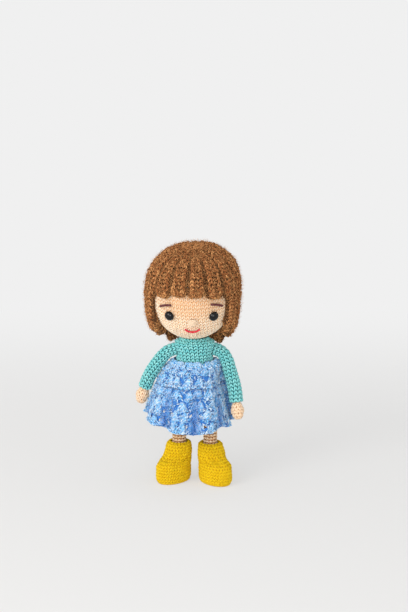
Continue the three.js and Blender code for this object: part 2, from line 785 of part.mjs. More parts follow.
// Arms
function armPieces(name, side, sleeveShares, handShares) {
  const group = new THREE.Group();
  group.position.set(side * shoulderX, 0, shoulderZ);
  const at = (shares) => new THREE.Vector3(...shares).multiplyScalar(armReach);
  const sleevePath = sleeveShares.map(at);
  const handPath = handShares.map(at);
  const sleeveShape = roundTube(sleevePath, (share) => (
    THREE.MathUtils.lerp(shoulderRadius, cuffRadius, THREE.MathUtils.smoothstep(share, ...sleeveTaperShares))
  ), tubeSides, sleeveSteps, true, false);
  const hand = (extra) => roundTube(handPath, (share) => (
    (handHalfWidth + extra) * (handEndShare + (1 - handEndShare) * Math.sin(share * Math.PI))
  ), tubeSides, handSteps);
  const inside = [...sleevePath.slice(1), ...handPath.slice(0, 2)];
  const bore = solid(roundTube(inside, () => armWireRadius + clearance, wireSides, armWireSteps));
  const wire = roundTube(inside, () => armWireRadius, wireSides, armWireSteps);
  const slot = swingRoom(
    shoulderWireRadius + clearance, shoulderRadius + overrun,
    (shoulderWireRadius + clearance) * 2, 0, liftRange,
  );
  // The wire enters from the body's side, and the sleeve turns down from it as the arm lifts
  const entry = new THREE.Matrix4().makeRotationZ(-side * Math.PI / 2);
  const facing = new THREE.Matrix4().makeRotationY(side * radians(90 + shoulderSlope));
  const slotFrame = facing.multiply(entry);
  const sleeve = solid(sleeveShape)
    .subtract(solid(ball(shoulderBallRadius + clearance, jointSegments)))
    .subtract(solid(slot, slotFrame))
    .subtract(bore)
    .subtract(solid(hand(clearance)));
  addPiece(group, `${name}_sleeve`, sleeve, jumperYarn);
  addPiece(group, `${name}_hand`, solid(hand(0)).subtract(bore), skinYarn);
  addPiece(group, `${name}_arm_wire`, wire, steelWire);
  return group;
}

// Legs and boots
function bootSection(height, halfLength, halfWidth, forward, inset) {
  const ring = [];
  for (let j = 0; j < bootSides; j += 1) {
    const turn = (j / bootSides) * Math.PI * 2;
    ring.push(new THREE.Vector3(
      Math.cos(turn) * (halfWidth - inset), Math.sin(turn) * (halfLength - inset) - forward, height,
    ));
  }
  return ring;
}

function bootSections(inset) {
  const rows = bootSectionShares.map(([z, a, b, c]) => ({
    height: bootHeight * z, halfLength: bootHalfLength * a, halfWidth: bootHalfWidth * b,
    forward: bootForward * c,
  }));
  rows.push({ height: bootHeight, halfLength: bootRimRadius, halfWidth: bootRimRadius, forward: 0 });
  return rows.map((row) => bootSection(row.height, row.halfLength, row.halfWidth, row.forward, inset));
}

function slab(lowZ, highZ) {
  const size = bootHalfLength * 4;
  return new THREE.BoxGeometry(size, size, highZ - lowZ).translate(0, 0, (lowZ + highZ) / 2);
}

function legPieces(name, side, legY, toeOut) {
  const group = new THREE.Group();
  group.position.set(side * legX, legY, 0);
  const insoleTop = soleThickness + clearance * 2 + insoleThickness;
  const legBottom = insoleTop + clearance;
  const kneeZ = (hipZ + legBottom) / 2;
  const legPath = [
    new THREE.Vector3(0, 0, hipZ - legRadius), new THREE.Vector3(0, 0, kneeZ),
    new THREE.Vector3(0, 0, legBottom + legRadius),
  ];
  const wirePath = [
    new THREE.Vector3(0, 0, hipZ - hipRadius), new THREE.Vector3(0, 0, kneeZ),
    new THREE.Vector3(0, 0, legBottom + legRadius),
  ];
  const leg = solid(roundTube(legPath, (share) => (
    THREE.MathUtils.lerp(thighRadius, legRadius, Math.min(1, share * 2))
  ), tubeSides + 2, 3))
    .add(solid(ball(hipRadius, jointSegments), moved(0, 0, hipZ)))
    .subtract(solid(roundTube(wirePath, () => legWireRadius + clearance, wireSides, 2)))
    .subtract(solid(cylinder(legWireRadius + clearance, hipZ, wireSides), moved(0, 0, kneeZ - hipZ / 2)));
  addPiece(group, `${name}_leg`, leg, skinYarn);
  addPiece(group, `${name}_leg_wire`, roundTube(wirePath, () => legWireRadius, wireSides, 2), steelWire);

  const boot = new THREE.Group();
  boot.rotation.z = radians(side * toeOut);
  const outer = solid(loft(bootSections(0)));
  const inner = solid(loft(bootSections(bootWall)));
  const filled = solid(loft(bootSections(bootWall + clearance)));
  const upperBottom = soleThickness + clearance;
  const ankle = solid(cylinder(bootRimRadius - bootWall, bootHeight, roundSegments),
    moved(0, 0, bootHeight));
  const upper = outer.subtract(inner).subtract(ankle)
    .intersect(solid(slab(upperBottom, bootHeight + overrun)));
  addPiece(boot, `${name}_boot_upper`, upper, bootYarn);
  const sole = outer.intersect(solid(slab(-overrun, soleThickness)));
  addPiece(boot, `${name}_boot_sole`, sole, bootYarn);
  const insole = filled.intersect(solid(slab(upperBottom, insoleTop)));
  addPiece(boot, `${name}_insole`, insole, insoleFelt);
  const legRoom = solid(cylinder(legRadius + clearance, bootHeight * 2, roundSegments));
  const padding = filled.intersect(solid(slab(insoleTop + clearance, toeHeight))).subtract(legRoom);
  addPiece(boot, `${name}_boot_stuffing`, padding, stuffing);
  group.add(boot);
  return group;
}

// Assembly, moved so that the origin is under the middle of the doll's box
const doll = new THREE.Group();
doll.add(headPieces());
doll.add(bodyPieces());
doll.add(skirtPieces());
doll.add(armPieces('left', 1, leftSleeveShares, leftHandShares));
doll.add(armPieces('right', -1, rightSleeveShares, rightHandShares));
doll.add(legPieces('left', 1, leftLegY, leftToeOut));
doll.add(legPieces('right', -1, rightLegY, rightToeOut));

doll.updateMatrixWorld(true);
const bounds = new THREE.Box3().setFromObject(doll, true);
doll.position.set(-(bounds.min.x + bounds.max.x) / 2, -(bounds.min.y + bounds.max.y) / 2, -bounds.min.z);
doll.updateMatrixWorld(true);

export default doll;
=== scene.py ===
# A crocheted doll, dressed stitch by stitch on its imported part.
# Lengths are millimetres in the doll's own frame until to_frame() turns them into metres.
# The doll faces -Y. Azimuth runs from the front towards its left, which is +X.
# Azimuths, elevations and other angles kept here are in degrees.

import functools
import math

import bpy
import numpy as np
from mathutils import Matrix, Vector


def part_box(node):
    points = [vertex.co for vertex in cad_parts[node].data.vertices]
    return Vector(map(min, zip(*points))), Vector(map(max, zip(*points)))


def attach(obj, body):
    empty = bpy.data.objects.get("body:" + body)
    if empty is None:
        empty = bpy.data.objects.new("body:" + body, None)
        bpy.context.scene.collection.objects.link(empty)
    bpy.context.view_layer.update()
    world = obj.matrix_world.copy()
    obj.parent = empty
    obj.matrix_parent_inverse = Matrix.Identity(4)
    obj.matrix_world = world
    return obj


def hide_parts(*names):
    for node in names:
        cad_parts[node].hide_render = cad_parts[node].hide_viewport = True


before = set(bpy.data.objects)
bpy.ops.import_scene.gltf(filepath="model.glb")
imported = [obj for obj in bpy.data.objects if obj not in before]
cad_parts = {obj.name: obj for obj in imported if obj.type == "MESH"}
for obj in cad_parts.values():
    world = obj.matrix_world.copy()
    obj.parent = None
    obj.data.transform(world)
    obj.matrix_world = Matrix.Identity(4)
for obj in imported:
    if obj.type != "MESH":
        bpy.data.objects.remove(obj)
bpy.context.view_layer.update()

MM = 0.001
TURN = 2 * math.pi
TINY = 1e-9
SEED = 11
rng = np.random.default_rng(SEED)

# Where the doll's own axis stands in the frame, which the neck post is turned on
neck_low, neck_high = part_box("neck_post")
AXIS_X = (neck_low.x + neck_high.x) / 2 / MM
AXIS_Y = (neck_low.y + neck_high.y) / 2 / MM

# The doll's two sides, and the way each lies along X
SIDES = {"left": 1, "right": -1}

# Camera, at the height and tilt from which the doll was photographed
CAMERA_PLACE = (4.604, -691, 227.4)
CAMERA_PITCH = 78.6
CAMERA_LENS = 85
CAMERA_SENSOR = 36
CAMERA_NEAR = 10
CAMERA_FAR = 10000

# Lamps: name, place, the point it faces, power and colour
LAMPS = [
    ("key_light", (-560, -620, 440), (0, 0, 60), 4.4, (1.0, 0.985, 0.96)),
    ("front_light", (40, -900, 190), (0, 0, 70), 4.1, (1.0, 0.995, 0.985)),
]
LAMP_SIZE = 560
WORLD_STRENGTH = 0.66

# Floor and backdrop
FLOOR_COLOUR = (228, 227, 225)
FLOOR_ROUGHNESS = 0.9
FLOOR_SPECULAR = 0.1
FLOOR_EVEN_SHARE = 0.6
BACKDROP_COLOUR = (240, 240, 240)
BACKDROP_START = 60
BACKDROP_FULL = 420
SWEEP_HALF_WIDTH = 5000
SWEEP_FRONT = -5000
SWEEP_BEND = 700
SWEEP_BEND_RADIUS = 900
SWEEP_TOP = 3000
SWEEP_STEPS = 24

# Colours of each yarn as it looks: a painted shade for between its strands and low in its stitches, its
# middle, and where it is lightest
SKIN_COLOURS = ((210, 144, 74), (254, 236, 208), (255, 245, 228))
HAIR_COLOURS = ((32, 13, 5), (158, 94, 50), (226, 164, 104))
JUMPER_COLOURS = ((26, 104, 112), (118, 208, 210), (172, 238, 234))
SKIRT_COLOURS = ((18, 102, 192), (128, 204, 250), (230, 246, 254))
# The legs are the face's yarn, given darker colours here: a painted shade under the skirt
LEG_SHADED_COLOURS = ((184, 128, 80), (240, 202, 156), (252, 232, 202))
BOOT_COLOURS = ((188, 136, 0), (230, 191, 4), (244, 212, 26))
NOSE_COLOURS = ((206, 158, 116), (222, 195, 166), (236, 214, 190))
MOUTH_COLOURS = ((110, 14, 28), (208, 44, 60), (236, 92, 98))
BROW_COLOURS = ((40, 16, 18), (92, 46, 48), (126, 78, 76))
FELT_COLOURS = ((190, 180, 156), (226, 218, 198), (240, 234, 218))
EYE_COLOUR = (8, 8, 10)
WASHER_COLOUR = (214, 214, 210)
STEEL_COLOUR = (184, 187, 190)

# How the yarn's colour moves: with its mottle and tone, and into a painted shade in its plies' grooves and
# down between strands
MOTTLE_SWING = 1.6
TONE_SWING = 0.5
LIGHT_START = 0.3
GROOVE_SHARE = 0.3
DEPTH_POWER = 0.7
YARN_PLIES = 2.0
YARN_SCALE = 700.0
YARN_ROUGHNESS = 0.85
YARN_SHEEN_ROUGHNESS = 0.5
YARN_SPECULAR = 0.25
YARN_BUMP = 0.8
FINE_HAIR_SCALE = 5.0
FINE_HAIR_SHARE = 0.8
WEAR_SCALE = 900.0
WEAR_SHARE = 3

# Stitches: width across, height of a round and half the yarn's thickness
FACE_STITCH = (1.95, 1.85, 0.43)
JUMPER_STITCH = (2.1, 1.76, 0.47)
HAND_STITCH = (1.9, 1.7, 0.56)
LEG_STITCH = (1.75, 1.55, 0.5)
BOOT_STITCH = (1.65, 1.5, 0.43)
HAIR_STITCH = (2.1, 1.75, 0.5)
CROWN_STITCH = (1.6, 1.9, 0.5)
LEAST_STITCHES = 5
TONE_SPREAD = 0.5

# How far the middle of the yarn lies below the outside, and the fabric below that
YARN_SINK = 0.5
LINING_SINK = 0.35

# Tapers: where on half a wave a strand starts, how much of it the strand covers, and a power
LEAF_TAPER = (0.14, 0.74, 0.6)
HAIR_TAPER = (0.12, 0.76, 0.5)
FLECK_TAPER = (0.12, 0.76, 0.6)
PAIR_TAPER = (0.1, 0.8, 0.35)

# The two leaves of a V
LEAF_RINGS = 5
LEAF_SIDES = 6
LEAF_FOOT_SHARE = 0.09
LEAF_BEND = 0.85
LEAF_SINK_SHARE = 0.15

# A twisted thread
PLY_OFFSET_SHARE = 0.45
PLY_RADIUS_SHARE = 0.62
PLY_SIDES = 7

# Loose fibres
FIBRE_POINTS = 4
FIBRE_SIDES = 3
FIBRE_SHORTEST_SHARE = 0.45
FIBRE_CURL_SHARE = 0.45
FIBRE_TAPER_SHARE = 0.6
FIBRE_LOWEST = 0.05
FIBRE_TONE_SPREAD = 0.5

# Room on the picture of the map that gives each strand its own cell
LINING_STRIP_SHARE = 0.2
STRIP_MARGIN_SHARE = 0.02
CELL_MARGIN_SHARE = 0.08

# Head
HEAD_RADIUS = 20.5
HEAD_HALF_HEIGHT = 22.2
HEAD_PLACE = (-0.9, -1, 94)
HEAD_LEAN = 10
HEAD_ROWS = 90
HEAD_COLUMNS = 132
HEAD_POLE = 0.03
HEAD_LINING_SINK = 0.06
HEAD_LINING_DEPTH = 0.08
HEAD_END = 1
HEAD_FLUFF = {"count": 900, "length": 1.2, "thickness": 0.05, "lay": 0.6}
HEAD_FLUFF_SHARES = (0.4, 0.9)

# What the hair leaves in sight: below the chin, and the face between its sides and its top
CHIN_Z = -11
FACE_HALF_ANGLE = 100
FACE_TOP_Z = 10.5

# A painted shade on the brow, under the fringe: its strength, place and size, round from the front and down
# from the crown
BROW_SHADE = 0.55
BROW_SHADE_PLACE = (0, 84)
BROW_SHADE_SIZE = (60, 22)

# Eyes
EYE_AZIMUTHS = {"left": 29, "right": -31.6}
EYE_ELEVATION = -11
EYE_RADIUS = 2.4
EYE_HEIGHT = 2.1
EYE_LIFT = 0.6
EYE_STEPS = 14
EYE_COLUMNS = 40
EYE_TIP_RADIUS = 0.01
EYE_STEM_RADIUS = 0.6
EYE_STEM_LENGTH = 3.9
EYE_BACK = 0.05
EYE_BACK_SHARE = 0.9
EYE_EDGE = 0.02

# Nose
NOSE_ELEVATION = -19
NOSE_HALF_WIDTH = 2.2
NOSE_HALF_HEIGHT = 1.9
NOSE_DEPTH = 1.5
NOSE_LIFT = 0.1
NOSE_LINING_INSETS = (0.3, 0.3, 0.2)
NOSE_LINING_DEPTH = 0.5
NOSE_POLE = 0.05
NOSE_ROWS = 12
NOSE_COLUMNS = 24
NOSE_WRAPS = 7
NOSE_YARN = 0.36
NOSE_YARN_SIDES = 7
NOSE_ROUND_SHARE = 0.9
NOSE_WRAP_SHARES = (0.08, 0.92)
NOSE_WRAP_DEPTH_SHARE = 0.86
NOSE_TONES = (-0.4, 0.6)

# Threads of the mouth and the brows
MOUTH_ELEVATION = -30.9
MOUTH_WIDTH = 6.7
MOUTH_SAG = 1.5
MOUTH_THREAD = 0.95
BROW_PLACES = {"left": (34, 3), "right": (-38, 1.3)}
BROW_WIDTH = 6.5
BROW_BOW = 0.35
BROW_RISE = 2
BROW_THREAD = 1.1
THREAD_POINTS = 26
THREAD_LIFT = 0.75
THREAD_END_DIP = 0.25
THREAD_PLIES = 3
THREAD_PITCH_SHARE = 2.4
THREAD_UP = (0, -1, 0.2)
THREAD_TONES = (0.3, -0.3, 0)

# Hair
HAIR_GAP = 0.45
HAIR_THICKNESS = 3.35
HAIR_SQUARENESS = 2.3
HAIR_TUCK = 6.8
TUCK_POWER = 2.2
HAIR_FULL_SHARE = 0.06
HAIR_RADIUS = HEAD_RADIUS + HAIR_GAP + HAIR_THICKNESS
HAIR_TOP = HEAD_HALF_HEIGHT + HAIR_GAP + HAIR_THICKNESS
DOME_LENGTH = (HAIR_RADIUS + HAIR_TOP) / 2 * (math.pi / 2)
JAW_FILL = 4
JAW_FILL_STARTS = (2, 10)
JAW_FILL_ENDS = (17, 26)

# Crown
CROWN_ANGLE = 11.5
CROWN_EDGE = DOME_LENGTH * CROWN_ANGLE / 90
CROWN_START = 0.25
CROWN_ROWS = 10
CROWN_COLUMNS = 90
CROWN_SINK = 0.9
CROWN_LINING_SINK = 0.5
CROWN_ROUNDS = (0.3, 2.6)
CROWN_MIDDLE_COUNT = 10
CROWN_LAP = 0.3
CROWN_FLUFF = {"count": 160, "length": 2.4, "thickness": 0.06, "lay": 0.7, "lift": 0.5}

# Locks: lengths down from the crown, each lock two ribs wide
LOCK_COUNT = 15
LOCK_STEP = 360 / LOCK_COUNT
FIRST_LOCK_AZIMUTH = 6
FRINGE_LENGTHS = (35, 32.8, 33.2, 34.6)
FRINGE_FIRST = -2
SIDE_LOCKS = {"left": (2, 51.5), "right": (-3, 53.5)}
SIDE_LOCK_COUNT = 3
SIDE_POWER = 1.1
NAPE_FIRST = 5
NAPE_COUNT = 5
NAPE_LENGTH = 68.2
RIB_PLACES = [0, 0.2, 0.42, 0.58, 0.78, 1]
RIB_SINKS = [0.7, 0.1, 0, 0.5, 1.6, 2.3]
TIP_LENGTH = 3.4
TIP_END_SHARE = 0.97
TIP_WIDTH_SHARE = 0.35
FACE_TRIM = 8
FACE_TRIM_LENGTHS = (33, 38)
LOCK_WIDTH_SHARE = 0.97
LOCK_WAVER = 0.5
LOCK_WAVER_LENGTH = 7
LOCK_ROW = 0.9
LOCK_LEAST_ROWS = 12
LOCK_ACROSS = np.linspace(-1, 1, 25)
LOCK_MIDDLE = 12
LOCK_BACK = np.linspace(0.97, -0.97, 9)
LOCK_LINING_SINK = 1.7
LOCK_LINING_DEPTH = 0.05
LOCK_YARN_SINK = 1.2
WALL_SHARES = np.linspace(0.1, 0.9, 7)
# Painted shade in the partings between the locks and where a lock's two ribs meet
PARTING_SHADE_PLACES = (0.6, 0.95)
PARTING_SHADE = 0.95
RIB_SHADE = 0.7
RIB_SHADE_WIDTH = 0.07

# Loose fibres on the outside of a lock, under it and beside the face, counted by the millimetre. Their
# tones make them paler than the yarn: a painted halo outside, and painted light that lifts the shade under
# the lock and beside the face
LOCK_FLUFF = {"count": 12, "length": 1.9, "thickness": 0.065, "lay": 0.8, "lift": 0.9, "flow": 0.2,
              "tone": 1.8}
UNDER_FLUFF = {"count": 18, "length": 2.2, "thickness": 0.07, "lay": 0.5, "lift": 0.3, "flow": 0.7,
               "tone": 1.6}
WALL_FLUFF = {"count": 10, "length": 1.6, "thickness": 0.065, "lay": 0.7, "lift": 0.5, "flow": 0.4,
              "tone": 1.2}

# The stitch of the hair, with two plies in each leg
HAIR_KINDS = 8
HAIR_RINGS = 6
HAIR_SIDES = 5
HAIR_FOOT_SHARE = 0.1
HAIR_SPREAD_SHARE = 0.36
HAIR_TOP_SHARE = 0.5
HAIR_REACH_SHARE = 1.02
HAIR_RISE_SHARE = 0.5
HAIR_LIFT_SHARES = (0.1, 0.25)
HAIR_PLY_GAP = 0.14
HAIR_PLY_SHARE = 0.62
HAIR_SHIFTS = (0.05, 0.08)
HAIR_TWIST = 0.14
HAIR_JITTER = 0.2
HAIR_DROP_SPREAD = 0.12
HAIR_TONE = 1.4

# Stray curls, and for each kind half its yarn's thickness and the tones that it may have
FLECK_WIDTH = 2.0
FLECK_RINGS = 6
FLECK_SIDES = 4
FLECK_REACHES = (0.5, 1.0)
FLECK_BOW = 0.5
FLECK_LIFT_SHARE = 0.9
FLECK_RISE_SHARES = (0.8, 2.6)
FLECK_YARN_SHARES = (0.8, 1.15)
FLECK_JITTER = 0.2
HAIR_FLECK = (0.2, [-1.6, -1.0, 1.2, 2.0])
# The curls under the locks, at their tips and beside the face are paler: painted light in the hair's shade
UNDER_FLECK = (0.24, [0, 1.2, 2.2])
SKIRT_FLECK = (0.3, [-0.8, 0.2, 1.0, 1.6])
HAIR_FLECK_SPREAD = 0.6
HAIR_FLECK_SHARE = 0.32
TIP_FLECK_SHARE = 1.2
SKIRT_FLECK_KINDS = 12
SKIRT_FLECK_SHARE = 0.65
HEM_FLECK_SHARE = 1.8

# Body
TORSO_BOTTOM_Z = 43.2
TORSO_TOP_Z = 75
COLLAR_Z = 73.2
CHEST_RADIUS = 9.2
TORSO_DEPTH_SHARE = 0.85
TORSO_OUTLINE_SHARES = [
    [0.85, 0], [1.18, 0.06], [1.26, 0.14], [1.1, 0.26], [1.02, 0.37], [0.99, 0.5], [0.99, 0.57],
    [1, 0.655], [1, 0.75], [1.02, 0.8], [1, 0.85], [0.82, 0.905], [0.7, 1],
]
TORSO_FLOOR = [[0.4, TORSO_BOTTOM_Z], [4, TORSO_BOTTOM_Z - 0.1]]
TORSO_ROWS = 120
TORSO_COLUMNS = 96
TORSO_STITCH_COUNT = 26
TORSO_START = 0.2
TORSO_END = 6
TORSO_FLUFF = {"count": 500, "length": 1.3, "thickness": 0.05, "lay": 0.7}
YOKE_SHARE = 0.2
YOKE_Z = 69.4
YOKE_HEIGHT = 1.5

# Arms
SHOULDER_X = 9
SHOULDER_Z = 66.9
SHOULDER_RADIUS = 3.3
SHOULDER_HOLLOW = SHOULDER_RADIUS + 0.5
SHOULDER_CLEAR = SHOULDER_RADIUS + 0.4
CUFF_RADIUS = 3.5
CUFF_TURN_ROWS = 6
CUFF_TURN_INSETS = (1, 0.9)
SLEEVE_TAPER = (0.15, 0.5)
SLEEVE_ROWS = 60
SLEEVE_STITCH_COUNT = 9
SLEEVE_START = 0.6
SLEEVE_FLUFF_START = 1
SLEEVE_FLUFF = {"count": 360, "length": 1.3, "thickness": 0.05, "lay": 0.7}
ARM_REACH = 34
HAND_HALF_WIDTH = 3.6
HAND_END_SHARE = 0.82
# The hands' yarn leans to its shade colour all over: a painted shade on the face's own yarn
HAND_SHADE = 0.4
HAND_ROWS = 24
HAND_ENDS = (0.8, 0.6)
HAND_FLUFF = {"count": 120, "length": 1.1, "thickness": 0.05, "lay": 0.7}
HAND_FLUFF_END = 0.5
SLEEVE_SHARES = {
    "left": [
        [0, 0, 0], [0.11, 0, -0.045], [0.192, -0.03, -0.145], [0.24, -0.08, -0.3],
        [0.29, -0.14, -0.46], [0.32, -0.19, -0.6], [0.335, -0.22, -0.74],
    ],
    "right": [
        [0, 0, 0], [-0.117, 0, -0.045], [-0.217, 0.01, -0.145], [-0.31, 0.04, -0.28],
        [-0.395, 0.07, -0.43], [-0.46, 0.1, -0.6],
    ],
}
HAND_SHARES = {
    "left": [[0.345, -0.25, -0.8], [0.352, -0.27, -0.86], [0.357, -0.285, -0.905]],
    "right": [[-0.48, 0.11, -0.665], [-0.5, 0.12, -0.725], [-0.515, 0.125, -0.775]],
}

# Tubes of fabric, and the rings of the half balls that close them
TUBE_COLUMNS = 48
CAP_RINGS = 7
CAP_REACH_SHARE = 0.97

# Legs
LEG_X = 7.7
LEG_Y = {"left": -1.6, "right": 0.8}
HIP_Z = 46.6
HIP_RADIUS = 3.9
HIP_SHARE = 0.1
THIGH_RADIUS = 3.75
LEG_RADIUS = 3.55
LEG_BOTTOM_Z = 3.2
LEG_ROWS = 60
LEG_STITCH_COUNT = 12
LEG_END = 0.8
LEG_FLUFF = {"count": 240, "length": 1.0, "thickness": 0.05, "lay": 0.6}
LEG_FLUFF_END = 1

# Boots
BOOT_HEIGHT = 19.5
BOOT_RIM_RADIUS = 5.9
BOOT_HALF_LENGTH = 10.6
BOOT_HALF_WIDTH = 7.2
BOOT_FORWARD = 4.4
BOOT_WALL = 1.3
BOOT_OVER_SOLE = 0.2
BOOT_LINING_INSET = 0.3
BOOT_FINE_ROWS = 200
BOOT_ROWS = 60
BOOT_INNER_ROWS = 16
BOOT_COLUMNS = 80
BOOT_START = 0.3
BOOT_END = 0.2
BOOT_FLUFF = {"count": 260, "length": 1.0, "thickness": 0.05, "lay": 0.6}
BOOT_FLUFF_START = 0.5
TOE_OUT = {"left": 34, "right": 40}
ANKLE_CREASES = 9
ANKLE_CREASE_DEPTH = 0.35
ANKLE_Z = 12.5
ANKLE_SPREAD = 4.5

# Sections of the boot: height, half length, half width and how far its middle is forward
BOOT_SECTION_SHARES = [
    [0, 0.91, 0.9, 0.95], [0.1, 0.98, 0.985, 1], [0.3, 1, 1, 1], [0.46, 0.97, 0.98, 0.93],
    [0.53, 0.9, 0.96, 0.76], [0.6, 0.76, 0.93, 0.44], [0.7, 0.69, 0.92, 0.25], [0.84, 0.66, 0.9, 0.14],
]

# The rim is rolled in towards the leg: how far below the top, and how far in
RIM_START = 0.5
RIM_DROPS = [0.2, 0, 0.1, 0.45, 0.9]
RIM_INSETS = [0.75, 1.2, 1.8, 2.2, 2.3]
RIM_COVERED_ROWS = 4
RIM_END = 1.2

# Sole and insole: heights and how far in from the boot's outside
SOLE_THICKNESS = 1.5
SOLE_OUTLINE = [
    [0.05, 5.5], [0.0, 1.0], [0.25, 0.45], [0.8, 0.35], [1.3, 0.45], [SOLE_THICKNESS, 0.9],
    [SOLE_THICKNESS, 5.5],
]
SOLE_LINING_DEPTH = 0.6
SOLE_EDGE = [[1.7, 0.6], [0.35, 0.6]]
INSOLE_LOW_Z = 1.8
INSOLE_TOP_Z = 2.6
INSOLE_GAP = 0.3
INSOLE_OUTLINE = [[INSOLE_LOW_Z, 5.6], [INSOLE_LOW_Z, 1.7], [INSOLE_TOP_Z, 1.7], [INSOLE_TOP_Z, 5.6]]

# Skirt
WAIST_Z = 59.9
HEM_RADIUS = 24.6
HEM_SHIFT_X = -2.2
FOLD_COUNT = 9
FOLD_AZIMUTH = 4.5
HEM_SCALLOP_SHARE = 0.5

# The arms press the skirt in: depth and azimuth
ARM_DENTS = [(5.5, 70), (1.3, -97)]
DENT_WIDTH = 30
DENT_START_SHARE = 5
DENT_FADE_SHARE = 0.5

# The tiers. The hem's lifts are height, azimuth and width, and the shades are painted shade in the
# openwork's holes, in the folds' grooves and on the rows in the shadow of the tier above.
UPPER_TIER = {
    "top_z": 58.8, "hem_z": 50.4, "lifts": [],
    "outline_shares": [[0.51, 0], [0.58, 0.08], [0.668, 0.3], [0.742, 0.67], [0.785, 1]],
    "fold_depth": 0.9, "top_fold_share": 0.3, "open_rows": 0, "covered_to": 0,
    "hole_shade": 1, "fold_shade": 0.1,
}
LOWER_TIER = {
    "top_z": 53.4, "hem_z": 29.6, "lifts": [(4.6, -88, 42), (-2.2, 4.5, 11)],
    "outline_shares": [
        [0.655, 0], [0.7, 0.11], [0.8, 0.19], [0.845, 0.32], [0.9, 0.5], [0.95, 0.72], [1, 1],
    ],
    "fold_depth": 2.5, "top_fold_share": 0.25, "open_rows": 2, "covered_to": 4,
    "hole_shade": 0.4, "fold_shade": 0.9,
}
TIER_OUTLINE_POINTS = 80
TIER_ROWS = 60
TIER_COLUMNS = 360
TIER_YARN_INSET = 0.9
# How fast the folds' painted shade grows down a tier, and the painted shadow under the tier above: its
# strength and length
FOLD_SHADE_GROWTH = 1.5
RUFFLE_SHADE = 0.45
RUFFLE_SHADE_LENGTH = 1.8

# Openwork: the holes between the feet of the fans, as shares of a fan's width and height
HOLE_HALF_WIDTH_SHARE = 0.13
HOLE_HALF_HEIGHT_SHARE = 0.15
HOLE_PLACE_SHARE = 0.26
HOLE_DEPTH = 0.6
OPENING_HALF_SHARE = 0.2
OPENING_PLACE_SHARE = 0.24
CLOTH_COLUMNS = 432
CLOTH_ROWS_PER_SHELL = 10
CLOTH_INSET = 1.25
CLOTH_THICKNESS = 0.5
# The cloth is painted near the yarn's shade colour and darker in tone: painted shade in the gaps between
# the fans
CLOTH_DEPTH = 0.06
CLOTH_TONE = -0.8

# A fan of posts, and the chain along its edge, with how far its lengths stray by chance
SHELL_KINDS = 6
SHELL_WIDTH = 5.0
SHELL_HEIGHT = 4.5
SHELL_ROUND_SHARE = 0.2
SHELL_GIRTH_SHARE = 0.6
SHELL_SHIFT_SHARE = 0.12
SHELL_RAISE = 0.15
SHELL_DROP_SPREAD = 0.4
SHELL_TWIST = 0.2
SHELL_JITTER = 0.2
POST_COUNT = 8
POST_RINGS = 12
POST_YARN = 0.25
POST_TWISTS = 2.4
POST_FOOT_SHARE = 0.1
POST_HEAD_SHARE = 0.48
POST_HEIGHT_SHARE = 0.98
POST_FOOT_SPREAD = 0.12
POST_HEAD_SPREADS = (0.22, 0.25)
POST_BEND = 1.5
POST_WAVE = 0.2
POST_WAVES = (0.5, 1.2)
POST_LIFT = 0.2
POST_RISE = 0.2
POST_LIFT_SPREAD = 0.2
CHAIN_RINGS = 20
CHAIN_TWISTS = 3.5
CHAIN_HALF_SHARE = 0.52
CHAIN_LIFT = 0.25
CHAIN_WAVE = 0.15
CHAIN_WAVES = 2

# Two plies that wind round each other: where each starts in the turn, and its tone
PAIR_PLIES = ((0, -0.5), (0.5, 0.9))
PAIR_SIDES = 5
PAIR_UNEVEN_SHARE = 0.2
PAIR_TONE_SPREAD = 0.4

# Loose fibres of a tier by the square millimetre, and how far its stray curls stay from its ends
TIER_FLUFF = {"count": 0.9, "length": 1.7, "thickness": 0.08, "lay": 0.9, "lift": 0.7, "tone": 1.3}
TIER_FLECK_ENDS = (0.3, 0.2)
HEM_FLECK_LENGTH = 1.2

# Waistband and its frill
BAND_HEIGHT = 1.6
BAND_THICKNESS = 0.8
BAND_CHEST_SHARE = 0.99
BAND_GAP = 0.3
BAND_INSET = 0.1
BAND_COLUMNS = 96
BAND_DEPTH = 0.3
FRILL_ROWS = 12
FRILL_COLUMNS = 120
FRILL_SHIFTS = [[0.1, 0.5], [0, 0], [-0.6, 0.2], [0, -0.8]]
FRILL_RAISE = 0.3
FRILL_TWIST = 0.15
FRILL_JITTER = 0.15
FRILL_FLUFF = {"count": 160, "length": 1.5, "thickness": 0.08, "lay": 0.9, "lift": 0.6, "tone": 1.3}


def to_frame(points):
    return (np.asarray(points) + np.array([AXIS_X, AXIS_Y, 0])) * MM


def unit(vectors):
    length = np.linalg.norm(vectors, axis=-1, keepdims=True)
    return vectors / np.maximum(length, TINY)


def turned(points, degrees, axes):
    # A turn in the plane of two axes, from the first towards the second
    c, s = math.cos(math.radians(degrees)), math.sin(math.radians(degrees))
    moved = np.array(points, float)
    first, second = axes
    a, b = moved[..., first].copy(), moved[..., second].copy()
    moved[..., first] = a * c - b * s
    moved[..., second] = a * s + b * c
    return moved


def head_to_doll(points):
    return turned(points, HEAD_LEAN, (1, 2)) + np.array(HEAD_PLACE, float)


def eased(share, low, high):
    t = np.clip((share - low) / (high - low), 0, 1)
    return t * t * (3 - 2 * t)


